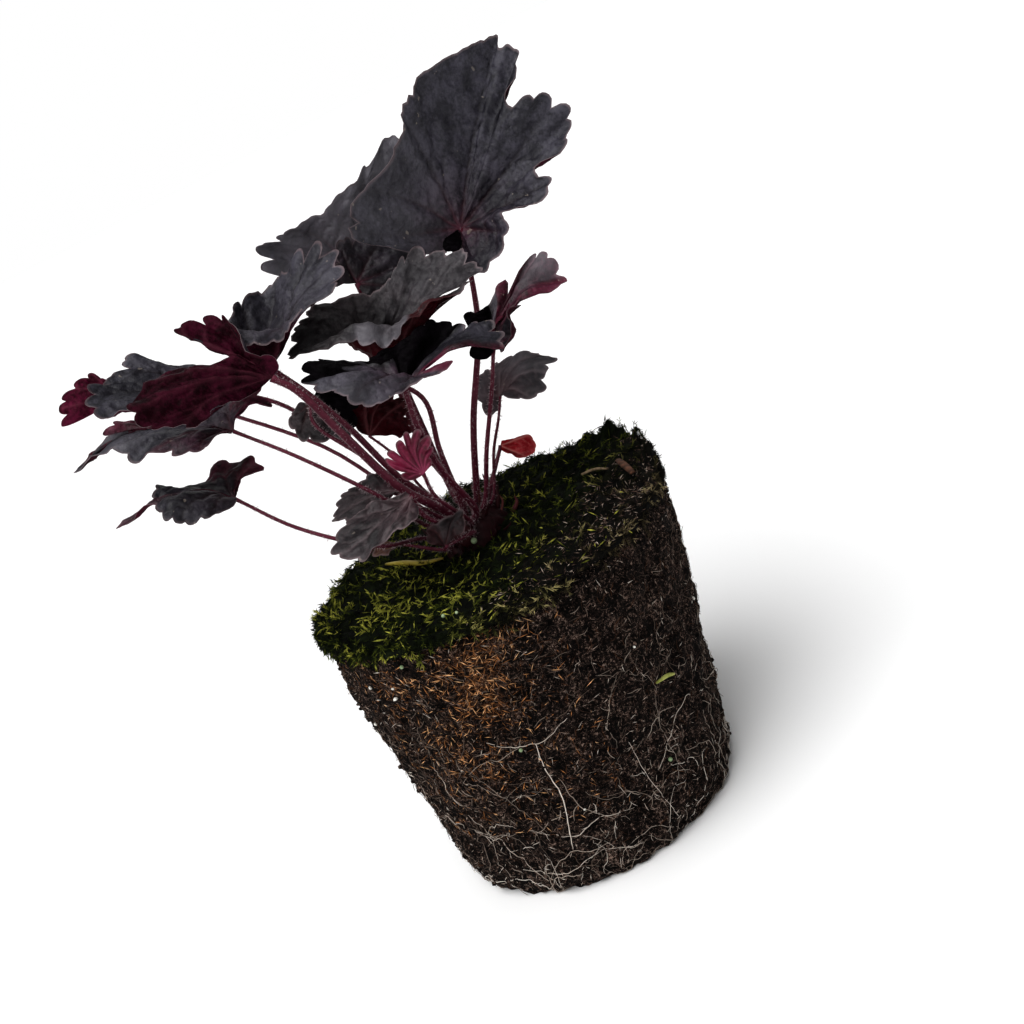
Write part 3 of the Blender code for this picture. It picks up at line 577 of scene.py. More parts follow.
lift = tip_lift(draw, SHORT_ROOT_COUNT, SHORT_ROOT_STEPS, 0.35, 3)
courses = wander(draw, SHORT_ROOT_COUNT, SHORT_ROOT_STEPS, SHORT_ROOT_STEP, *SHORT_ROOT_HEIGHTS, lift, 0.28)
radii = draw.uniform(*SHORT_ROOT_WIDTH, (SHORT_ROOT_COUNT, 1)) * taper(SHORT_ROOT_STEPS)
points, faces = tubes(courses, radii)
tone = draw.uniform(0, 1, SHORT_ROOT_COUNT) ** 1.2 * (1.1 - courses[:, 0, 2] / 150)
make_piece("short_roots", points, faces, pale_root, "roots", tone=per_point(points, tone))

bearing, height = draw.uniform(0, math.tau, PALE_DASHES), draw.uniform(*SHORT_ROOT_HEIGHTS, PALE_DASHES)
starts, ends = dashes_on_soil(draw, bearing, height, PALE_DASH_LENGTH, 0.8)
points, faces = needles(starts, ends, draw.uniform(*PALE_DASH_WIDTH, PALE_DASHES))
tone = np.repeat(draw.uniform(0.4, 1.0, PALE_DASHES), NEEDLE_POINTS)
make_piece("broken_roots", points, faces, pale_root, "roots", tone=tone)

lift = tip_lift(draw, COIR_COUNT, COIR_STEPS, 0.4, 2.5)
courses = wander(draw, COIR_COUNT, COIR_STEPS, COIR_STEP, *COIR_HEIGHTS, lift, 0.25)
in_coir = coir_share(courses[:, 2])
tone = np.clip(0.22 + 0.9 * in_coir, 0, 1) * draw.uniform(0.3, 1.0, COIR_COUNT)
coir_width = draw.uniform(*COIR_WIDTH, (COIR_COUNT, 1)) * taper(COIR_STEPS) * (1 + 0.9 * in_coir[:, None])
points, faces = tubes(courses, coir_width)
make_piece("coir_fibres", points, faces, coir_fibre, "roots", tone=per_point(points, tone))

# Shreds lie where the coir patches are: many are tried, and those in a patch are kept.
tries = 6 * COIR_DASHES
bearing, height = np.radians(draw.uniform(*SHRED_BEARINGS, tries)), draw.uniform(*SHRED_HEIGHTS, tries)
in_patch = coir_share(soil_place(bearing, height)) + 0.04 > draw.uniform(0, 1, tries)
bearing, height = bearing[in_patch][:COIR_DASHES], height[in_patch][:COIR_DASHES]
starts, ends = dashes_on_soil(draw, bearing, height, SHRED_LENGTH, 0.9)
points, faces = needles(starts, ends, draw.uniform(*SHRED_WIDTH, len(starts)))
tone = np.repeat(draw.uniform(0, 1, len(starts)) ** 1.1, NEEDLE_POINTS)
make_piece("coir_shreds", points, faces, coir_fibre, "roots", tone=tone)

thick_courses, thick_widths = [], []
for half_width, course in THICK_ROOTS:
    knots = np.array(course, float)
    where = catmull(knots, np.linspace(0, len(knots) - 1, THICK_ROOT_STEPS))
    thick_courses.append(soil_place(np.radians(where[:, 0]), where[:, 1], out=half_width))
    wobble = 1 + 0.25 * lumps(thick_courses[-1], 4.0, half_width)
    thick_widths.append(half_width * taper(THICK_ROOT_STEPS, 0.45) * wobble)
points, faces = tubes(thick_courses, thick_widths, sides=6)
tone = per_point(points, draw.uniform(*THICK_ROOT_TONE, len(THICK_ROOTS)))
make_piece("thick_roots", points, faces, pale_root, "roots", tone=tone)


# Things in the potting mix that show at its surface: white perlite grains, pale beads of slow feed, and
# one bark chip and one dry twig on the moss. They are loose, and held only by the soil and moss round them.

# On the soil's side: bearing in degrees, height, size. On the moss: a place in millimetres, and a size.
PERLITE = (
    (-145, 90, 0.7), (-136, 89, 0.6), (-138, 85, 0.8), (-62, 70, 0.5), (-96, 30, 0.5), (-20, 60, 1.0),
    (35, 75, 1.2), (80, 50, 1.0), (130, 82, 1.2), (165, 40, 0.9), (100, 20, 0.8), (-165, 70, 0.8),
)
FEED_BEADS = ((-106, 58, 0.6), (-62, 28, 0.7), (40, 30, 1.0), (150, 60, 1.0), (-127, 97, 0.6))
FEED_BEADS_ON_TOP = ((-2.6, -9.4, 107.8, 1.05), (-19, -52, 106.4, 0.6), (-15, -54, 106.2, 0.5))
BEAD_ROWS = 9
GREEN_SCRAP = ((-58, 54), (-53, 53), (-49, 51))
SCRAP_HALF_WIDTH = 0.7
BARK_CHIP = ((49.8, -3, 107.8), (50.4, -11, 107.6), (50.9, -19, 106.6))
BARK_HALF_WIDTH = 1.3
BARK_HEIGHT = 107.2
CHIP_STEPS = 8
DRY_TWIG = ((37.5, 0.6, 107.4), (41.5, -1.2, 107.9), (45.5, -6.5, 107.6))
TWIG_HALF_WIDTH = 0.5
TWIG_STEPS = 14


def plain_material(name, dark, light, scale, roughness, bump):
    """A material of two colours in fine grains."""
    material = new_material(name, Roughness=roughness, Specular_IOR_Level=0.3)
    grain = speckle(material, scale, 4.0)
    colour = shade(material, grain, ((0.35, dark), (0.65, light)))
    return finish_material(material, colour, bump=((grain, bump, 0.8),))


perlite_white = plain_material("perlite_white", (0.55, 0.53, 0.48), (0.86, 0.85, 0.80), 900.0, 0.9, 0.0003)
bead_green = plain_material("feed_bead_green", (0.15, 0.22, 0.11), (0.36, 0.44, 0.27), 500.0, 0.45, 0.0001)
bark_brown = plain_material("bark_brown", (0.030, 0.012, 0.006), (0.12, 0.050, 0.026), 500.0, 0.85, 0.0004)
twig_tan = plain_material("twig_tan", (0.06, 0.040, 0.022), (0.26, 0.19, 0.11), 600.0, 0.8, 0.0004)
scrap_green = plain_material("dry_scrap", (0.24, 0.26, 0.05), (0.50, 0.50, 0.17), 400.0, 0.7, 0.0002)

draw = np.random.RandomState(31)
spots = np.array(PERLITE, float)
places = soil_place(np.radians(spots[:, 0]), spots[:, 1], out=0.3)
points, faces = scatter_lumps(places, spots[:, 2], draw, (0.8, 1.1))
make_piece("perlite_grains", points, faces, perlite_white, "perlite")

spots = np.array(FEED_BEADS, float)
places = soil_place(np.radians(spots[:, 0]), spots[:, 1], out=0.5)
on_top = np.array(FEED_BEADS_ON_TOP, float)
places = np.concatenate([places, on_top[:, :3]])
sizes = np.concatenate([spots[:, 2], on_top[:, 3]])
latitude = np.linspace(-math.pi / 2 + 0.1, math.pi / 2 - 0.1, BEAD_ROWS)
bead_line = np.stack([0 * latitude, 0 * latitude, np.sin(latitude)], -1)
bead_paths = places[:, None] + bead_line[None] * sizes[:, None, None]
points, faces = tubes(bead_paths, sizes[:, None] * np.cos(latitude), sides=14)
make_piece("feed_beads", points, faces, bead_green, "feed_beads")

scrap = soil_place(np.radians([b for b, _ in GREEN_SCRAP]), [h for _, h in GREEN_SCRAP], out=0.6)
scrap = catmull(scrap, np.linspace(0, 2, CHIP_STEPS))
points, faces = tubes([scrap], [SCRAP_HALF_WIDTH * taper(CHIP_STEPS, 0.2)], sides=5)
make_piece("dry_scrap", points, faces, scrap_green, "moss")

chip = catmull(BARK_CHIP, np.linspace(0, 2, CHIP_STEPS))
points, faces = tubes([chip], [BARK_HALF_WIDTH * taper(CHIP_STEPS, 0.6)], sides=6)
points[..., 2] = BARK_HEIGHT + (points[..., 2] - BARK_HEIGHT) * 0.5
make_piece("bark_chip", points, faces, bark_brown, "bark")

twig = catmull(DRY_TWIG, np.linspace(0, 2, TWIG_STEPS))
twig = twig + 0.3 * lumps(twig, 3.0)[:, None]
points, faces = tubes([twig], [TWIG_HALF_WIDTH * taper(TWIG_STEPS, 0.6)], sides=6)
make_piece("dry_twig", points, faces, twig_tan, "bark")


# The moss: a living mat over the top of the soil, thickest and greenest at the back and the left, thin and
# brown at the front right. It is rooted in the soil, and its longer strands hang over the rim at the left.

MOSS_TOP = 104.3
MOSS_RADIUS = 61.5
MOSS_ROUND_STEPS = 260
MOSS_ROWS = 62
# How far apart each size of hump is, and how high it stands.
MOSS_HUMPS = ((26.0, 1.5), (9.0, 1.7), (4.0, 1.5), (2.0, 0.9))
# The mat heaps up round this bearing at the right, where its rim is square too, and dips at the front right.
HEAP_BEARING, HEAP_SPREAD, HEAP_HEIGHT = 0.30, 0.55, 2.6
SQUARE_RIM_BEARING, SQUARE_RIM_SPREAD = 0.1, 0.6
DIP_X, DIP_Y, DIP_WIDTH, DIP_DEPTH = 12, -14, 22.0, 1.4
# Raised tufts at the right-hand rim: x, y, how high they stand, and how wide they are.
RIM_TUFTS = (
    (60, 20, 4.2, 3.0), (54, 28, 3.0, 3.5), (61, 8, 3.4, 3.0), (60, -6, 3.0, 3.2), (55, -19, 2.2, 3.0),
    (46, 38, 1.8, 4.0),
)
MOSS_STRANDS = 1650
MOSS_STRAND_STEPS = 5
MOSS_LEAFLETS = 14
FRINGE_STRANDS = 480
FRINGE_RADIUS = (56.0, 61.5)
EDGE_STRANDS = 150
EDGE_BEARINGS = (-0.6, 1.7)
BROAD_LEAVES = 260
BROAD_LEAF_REACH = 60.0
LITTER_DASHES = 3600


def brownness(points):
    """1 where the moss is thin and brown, at the front right, and 0 where it is thick and green."""
    side_on = (points[..., 0] - points[..., 1] - 52.0) / 20.0
    return np.clip(0.5 + 0.5 * side_on + 0.5 * lumps(points, 14.0, 5.0), 0, 1)


def moss_height(points):
    """How high the moss stands at these places, seen from above."""
    flat = np.array(points, float)
    flat[..., 2] = 0.0
    humps = sum(depth * lumps(flat, size, depth + 3.0) for size, depth in MOSS_HUMPS)
    reach = np.linalg.norm(flat[..., :2], axis=-1) / MOSS_RADIUS
    bearing = np.arctan2(flat[..., 1], flat[..., 0])
    heap = HEAP_HEIGHT * np.exp(-(((bearing - HEAP_BEARING) / HEAP_SPREAD) ** 2))
    heap = heap * np.clip(reach - 0.45, 0, 1)
    for x, y, tall, wide in RIM_TUFTS:
        apart = np.hypot(flat[..., 0] - x, flat[..., 1] - y) / wide
        heap = heap + 0.45 * tall * np.exp(-(apart**2)) * (1 + 0.8 * lumps(flat, 2.2, 9.0))
    dip = DIP_DEPTH * np.exp(-((np.hypot(flat[..., 0] - DIP_X, flat[..., 1] - DIP_Y) / DIP_WIDTH) ** 2))
    square_rim = np.exp(-(((bearing - SQUARE_RIM_BEARING) / SQUARE_RIM_SPREAD) ** 2))
    rounded = 14.0 * np.clip(reach - 0.88, 0, 1) * (1 - 0.8 * square_rim) + 1.2 * brownness(flat)
    return np.maximum(MOSS_TOP + humps + 2.2 * heap - dip - rounded, BALL_HEIGHT + 0.6)


GREENS = (
    (0.17, (0.0006, 0.0009, 0.0003)), (0.41, (0.009, 0.016, 0.0024)), (0.60, (0.115, 0.140, 0.015)),
    (0.88, (0.70, 0.68, 0.12)),
)
BROWNS = (
    (0.17, (0.0006, 0.0005, 0.0003)), (0.41, (0.009, 0.007, 0.0038)), (0.60, (0.11, 0.085, 0.042)),
    (0.88, (0.66, 0.54, 0.30)),
)
moss_green = new_material("moss_green", Roughness=0.85, Specular_IOR_Level=0.1)
grain = speckle(moss_green, 900.0, 4.0, 0.8)
tone = marked_tone(moss_green, grain, 0.8, 0.35)
green, brown = shade(moss_green, tone, GREENS), shade(moss_green, tone, BROWNS)
colour = blend_colours(moss_green, read_mark(moss_green, "brown"), green, brown)
finish_material(moss_green, colour, bump=((grain, 0.0011, 1.0),))

bearings = np.linspace(0, math.tau, MOSS_ROUND_STEPS, endpoint=False)
reach = np.concatenate([np.linspace(0.03, 1.0, MOSS_ROWS), [1.0, 0.985]])
flat = np.stack([np.cos(bearings), np.sin(bearings), 0 * bearings], -1)[None]
flat = flat * (MOSS_RADIUS * reach)[:, None, None]
ragged = 0.030 * lumps(flat, 9.0, 6.0) + 0.022 * lumps(flat, 3.5, 9.0)
flat = flat * (1 + ragged * reach[:, None] ** 3)[..., None]
flat[..., 2] = moss_height(flat)
flat[-2, :, 2] = BALL_HEIGHT + 1.2
flat[-1, :, 2] = BALL_HEIGHT + 0.3
mat_faces = body_faces(len(reach), MOSS_ROUND_STEPS)
marks = {"tone": np.clip(0.06 + 0.35 * lumps(flat, 3.0, 8.0), 0, 0.4), "brown": brownness(flat)}
make_piece("moss_mat", flat, mat_faces, moss_green, "moss", ["moss_layer"], **marks)


def leafy_strands(draw, paths, width, leaf_size):
    """Moss strands, each a thin stem with small pointed leaves: points, faces, whose each is, and how lit."""
    count, steps = paths.shape[:2]
    stems, stem_faces = tubes(paths, np.broadcast_to(width * taper(steps, 0.4), (count, steps)))
    spots = np.linspace(0.2, steps - 1.0, MOSS_LEAFLETS)
    bases = catmull(np.swapaxes(paths, 0, 1), spots)
    ahead = catmull(np.swapaxes(paths, 0, 1), spots + 0.2) - bases
    aside = unit(draw.normal(0, 1, bases.shape))
    point_out = unit(unit(ahead) * 1.0 + aside * 0.7)
    size = leaf_size * draw.uniform(0.6, 1.3, bases.shape[:2])[..., None]
    tips = (bases + point_out * size).reshape(-1, 3)
    leaves, leaf_faces = needles(bases.reshape(-1, 3), tips, 0.09 * leaf_size, 0.35)
    offset = stems.reshape(-1, 3).shape[0]
    faces = stem_faces + [[corner + offset for corner in face] for face in leaf_faces]
    strand = np.arange(count)
    owner = np.concatenate([strand.repeat(steps * 3), np.tile(strand, MOSS_LEAFLETS).repeat(NEEDLE_POINTS)])
    stem_lit = np.tile(np.linspace(0.35, 1.0, steps).repeat(3), count)
    leaf_lit = np.linspace(0.35, 1.0, MOSS_LEAFLETS).repeat(NEEDLE_POINTS * count)
    points = np.concatenate([stems.reshape(-1, 3), leaves.reshape(-1, 3)])
    return points, faces, owner, np.concatenate([stem_lit, leaf_lit])


def strand_tones(draw, places):
    """How light each strand is: most are dark, with lighter clumps, and more of those at the front left."""
    count = len(places)
    front_left = 0.006 * (-places[:, 0] - places[:, 1])
    clump = np.clip(1.9 * lumps(places * (1, 1, 0), 8.0, 2.0) + front_left + 0.1, 0, 1)
    return np.clip(draw.uniform(0.0, 0.6, count) + clump * draw.uniform(-0.1, 1.0, count), 0, 1)


def lay_strands(name, draw, courses, width, leaf_size, light=1.0):
    """A piece of leafy moss strands along these courses."""
    points, faces, owner, lit = leafy_strands(draw, courses, width, leaf_size)
    tone = light * strand_tones(draw, courses[:, 0])[owner] * lit
    make_piece(name, points, faces, moss_green, "moss", tone=tone, brown=brownness(courses[:, 0])[owner])


def strand_courses(draw, bearing, radius, heading, step, climb):
    """Strands that start at these places and wander over the moss, rising by climb."""
    count = len(bearing)
    start = np.stack([radius * np.cos(bearing), radius * np.sin(bearing), 0 * radius], -1)
    heading = heading[:, None] + np.cumsum(draw.normal(0, 0.25, (count, MOSS_STRAND_STEPS)), 1)
    forward = np.stack([np.cos(heading), np.sin(heading), 0 * heading], -1)
    courses = start[:, None] + np.cumsum(step[:, None, None] * forward, 1)
    over = np.maximum(np.linalg.norm(courses[..., :2], axis=-1) - MOSS_RADIUS, 0.0)
    courses[..., :2] *= (1 - over / (over + MOSS_RADIUS) * 0.93)[..., None]
    courses[..., 2] = moss_height(courses) + climb - over * 0.7
    return courses


draw = np.random.RandomState(41)
radius = MOSS_RADIUS * np.sqrt(draw.uniform(0.04, 0.98, MOSS_STRANDS))
bearing = draw.uniform(0, math.tau, MOSS_STRANDS)
climb = np.linspace(-0.6, 1.0, MOSS_STRAND_STEPS) * draw.uniform(0.2, 2.6, (MOSS_STRANDS, 1))
heading = draw.uniform(0, math.tau, MOSS_STRANDS)
courses = strand_courses(draw, bearing, radius, heading, draw.uniform(0.6, 1.8, MOSS_STRANDS), climb)
courses = courses[draw.uniform(0, 1, MOSS_STRANDS) > 0.65 * brownness(courses[:, 0])]
lay_strands("moss_strands", draw, courses, 0.12, 1.7)

bearing = draw.normal(-2.2, 1.5, FRINGE_STRANDS)
radius = draw.uniform(*FRINGE_RADIUS, FRINGE_STRANDS)
heading = bearing + draw.normal(0, 0.9, FRINGE_STRANDS)
climb = np.linspace(-0.3, 1.0, MOSS_STRAND_STEPS) * draw.uniform(-0.8, 1.6, (FRINGE_STRANDS, 1))
courses = strand_courses(draw, bearing, radius, heading, draw.uniform(0.5, 1.7, FRINGE_STRANDS), climb)
lay_strands("moss_fringe", draw, courses, 0.13, 1.9)

# More strands lie along the mat's upright edge at the right and the back.
draw = np.random.RandomState(45)
bearing = draw.uniform(*EDGE_BEARINGS, EDGE_STRANDS)
rim_radius = MOSS_RADIUS * (1 + np.interp(bearing, bearings, ragged[-2], period=math.tau))
either_way = draw.choice((-1, 1), (EDGE_STRANDS, 1))
along_rim = either_way * np.linspace(0, draw.uniform(0.03, 0.10, EDGE_STRANDS), MOSS_STRAND_STEPS).T
around_rim = bearing[:, None] + along_rim
bulge = rim_radius[:, None] + draw.uniform(-0.3, 0.5, (EDGE_STRANDS, MOSS_STRAND_STEPS))
courses = np.stack([bulge * np.cos(around_rim), bulge * np.sin(around_rim), 0 * bulge], -1)
up_edge = (moss_height(courses) - BALL_HEIGHT) * draw.uniform(0.05, 1.0, (EDGE_STRANDS, 1))
courses[..., 2] = BALL_HEIGHT + 0.6 + up_edge + draw.normal(0, 0.35, bulge.shape)
lay_strands("moss_edge", draw, courses, 0.12, 1.6, light=0.8)

# A few broader, yellow-green moss leaves stand among the fine ones, most of them at the front left.
draw = np.random.RandomState(43)
radius = BROAD_LEAF_REACH * np.sqrt(draw.uniform(0.1, 0.98, BROAD_LEAVES))
bearing = draw.normal(-1.9, 0.8, BROAD_LEAVES)
starts = np.stack([radius * np.cos(bearing), radius * np.sin(bearing), 0 * radius], 1)
starts[:, 2] = moss_height(starts) + draw.uniform(0.2, 1.0, BROAD_LEAVES)
way = unit(draw.normal(0, 1, starts.shape) * (1, 1, 0.35))
ends = starts + way * draw.uniform(2.0, 5.5, (BROAD_LEAVES, 1))
points, faces = needles(starts, ends, draw.uniform(0.14, 0.34, BROAD_LEAVES), 0.6)
tone = draw.uniform(0.5, 1.0, BROAD_LEAVES).repeat(NEEDLE_POINTS)
make_piece("moss_leaves", points, faces, moss_green, "moss", tone=tone, brown=0 * tone)

# Dead moss and fibres lie where the moss is thin.
tries = 6 * LITTER_DASHES
flat = np.concatenate([draw.uniform(-61, 61, (tries, 2)), np.zeros((tries, 1))], 1)
flat = flat[np.linalg.norm(flat, axis=1) < MOSS_RADIUS - 0.5]
flat = flat[brownness(flat) > draw.uniform(0, 1.1, len(flat))][:LITTER_DASHES]
lean = draw.normal(0, 1, flat.shape) * (1, 1, 0.45)
starts = flat.copy()
starts[:, 2] = moss_height(flat) + draw.uniform(-0.2, 0.9, len(flat))
ends = starts + unit(lean) * draw.uniform(0.7, 3.0, (len(flat), 1))
points, faces = needles(starts, ends, draw.uniform(0.06, 0.14, len(flat)))
tone = np.repeat(draw.uniform(0, 1, len(flat)) ** 1.7, NEEDLE_POINTS)
make_piece("moss_litter", points, faces, peat_fibre, "moss", tone=tone)


# The crown: the short woody base that all the stalks grow from, standing in a hole in the moss. Old leaf
# bases and papery red scales cover it. One old yellow stalk lies beside it on the moss.

CROWN_CENTRE = np.array((-1.0, 6.0, 101.0))
CROWN_HALF = np.array((14.5, 9.5, 13.0))
CROWN_TURN = math.radians(40)
CROWN_FLOOR = 100.4
CROWN_STEPS = 72
CROWN_ROWS = 26
FOOT_CLEARANCE = 0.1
SCALES = 34
SCALE_OUTLINE = (1.0, 1.1, 1.05, 0.9, 0.7, 0.45, 0.15)
SHEATH = np.array((-4.8, -5.0, 109.2))
SHEATH_HALF = 3.7
SHEATH_ROWS = 11
DEAD_STALK = ((-33, 16), (-27, 8), (-21, 0), (-14, -5))
DEAD_STALK_HALF_WIDTH = 1.1
DEAD_STALK_STEPS = 24
DEAD_STALK_HEIGHT = 106.0
DEAD_STALK_MIDDLE = 106.2


def crown_matrix():
    return np.array(Matrix.Rotation(CROWN_TURN, 3, "Z"))


def on_crown(bearing, rise, clearance=FOOT_CLEARANCE):
    """Where a stalk leaves the crown in this direction from its centre, and the way out there."""
    turned_by = bearing - CROWN_TURN
    flat = math.cos(rise)
    along = np.array((flat * math.cos(turned_by), flat * math.sin(turned_by), math.sin(rise)))
    point = along / math.sqrt(((along / CROWN_HALF) ** 2).sum())
    normal = unit(point / CROWN_HALF**2)
    return CROWN_CENTRE + crown_matrix() @ (point + normal * clearance), unit(crown_matrix() @ normal)


def tinted_material(name, stops, scale=300.0, roughness=0.55, bump=0.0004, **settings):
    """A material whose colour comes from a ramp over each point's tone mark and fine noise."""
    material = new_material(name, Roughness=roughness, **settings)
    grain = speckle(material, scale, 4.0)
    colour = shade(material, marked_tone(material, grain, 0.7, 0.4), stops)
    return finish_material(material, colour, bump=((grain, bump, 0.6),))


crown_red = tinted_material(
    "crown_scales_red",
    (
        (0.15, (0.004, 0.001, 0.001)), (0.5, (0.026, 0.004, 0.006)), (0.85, (0.10, 0.022, 0.025)),
        (1.0, (0.24, 0.11, 0.07)),
    ),
    Specular_IOR_Level=0.2,
)
straw = tinted_material(
    "dry_stalk_straw",
    ((0.15, (0.10, 0.07, 0.006)), (0.55, (0.30, 0.225, 0.018)), (1.0, (0.50, 0.42, 0.07))),
    roughness=0.6,
)

rise = np.linspace(-0.05, math.pi / 2 - 0.03, CROWN_ROWS)[::-1]
around = np.linspace(0, math.tau, CROWN_STEPS, endpoint=False)
flat_share = np.cos(rise)[:, None]
upright = np.sin(rise)[:, None] + 0 * around
ball = np.stack([flat_share * np.cos(around), flat_share * np.sin(around), upright], -1)
scaly = 1 + 0.07 * np.abs(np.sin(around * 9 + rise[:, None] * 7)) + 0.05 * lumps(ball * 20.0, 3.0, 2.0)
crown_points = CROWN_CENTRE + (ball * scaly[..., None] * CROWN_HALF * 0.96) @ crown_matrix().T
crown_points[..., 2] = np.maximum(crown_points[..., 2], CROWN_FLOOR)
crown_faces = body_faces(CROWN_ROWS, CROWN_STEPS)
tone = 0.25 + 0.3 * (scaly - 1) / 0.12
make_piece("crown_core", crown_points, crown_faces, crown_red, "crown", ["crown"], tone=tone)

draw = np.random.RandomState(51)
scale_paths, scale_widths = [], []
for scale in range(SCALES):
    foot, way = on_crown(draw.uniform(0, math.tau), draw.uniform(0.15, 1.2), -0.6)
    tip = foot + way * draw.uniform(2.5, 6.0) + np.array((0, 0, draw.uniform(1.5, 6.0)))
    bend = (foot + tip) / 2 + way * draw.uniform(0.5, 2.0)
    scale_paths.append(catmull([foot, bend, tip], np.linspace(0, 2, len(SCALE_OUTLINE))))
    scale_widths.append(draw.uniform(0.35, 0.85) * np.array(SCALE_OUTLINE))
points, faces = tubes(scale_paths, scale_widths, sides=7)
tone = per_point(points, draw.uniform(0.1, 1.0, SCALES))
make_piece("crown_scales", points, faces, crown_red, "crown", tone=tone)

# A smooth dark red leaf base bulges from the crown's front.
latitude = np.linspace(-1.45, 1.45, SHEATH_ROWS)
heights = SHEATH + np.stack([0.15 * np.sin(latitude), 0 * latitude, np.sin(latitude)], -1) * SHEATH_HALF * 1.1
points, faces = tubes([heights], [SHEATH_HALF * np.cos(latitude)], sides=20)
make_piece("leaf_base", points, faces, crown_red, "crown", tone=0.52 + 0.2 * lumps(points, 5.0))

line = [(x, y, DEAD_STALK_HEIGHT) for x, y in DEAD_STALK]
line = catmull(line, np.linspace(0, len(line) - 1, DEAD_STALK_STEPS))
line[:, 2] += 0.3 * np.sin(np.linspace(0, 5, DEAD_STALK_STEPS))
points, faces = tubes([line], [DEAD_STALK_HALF_WIDTH * taper(DEAD_STALK_STEPS, 0.15)], sides=9)
points[..., 2] = DEAD_STALK_MIDDLE + (points[..., 2] - DEAD_STALK_MIDDLE) * 0.75
tone = 0.5 + 0.5 * lumps(points, 4.0)
make_piece("dry_stalk", points, faces, straw, "dead_stalk", ["dead_stalk"], tone=tone)


# The leaf stalks: round, fleshy and burgundy red, a little wider at the foot, with short white hairs that
# stand out all round. Each grows from the crown and carries one blade.

# junction: where the stalk meets the blade. foot: the way out of the crown, as a bearing and a rise in
# degrees. bends: points that the stalk passes. thick: the stalk's width. veins: round the blade, each one's
# middle and tip, from the junction. notch: how deep the edge is cut between each vein and the next, as a
# share of their length. ribs: the counts of veins where a rib shows. blush: a burgundy stain. After it come
# near-black painted shade where the blade curls away into shadow, and a painted satin grey highlight where it
# faces the light. Each of these three runs from one count of veins to another, from a share of their length
# on, with how strong it is. skin: the blade's material.
Leaf = namedtuple(
    "Leaf",
    "junction foot bends thick notch veins ribs blush ink bloom skin",
    defaults=((), (), (), (), "dark"),
)

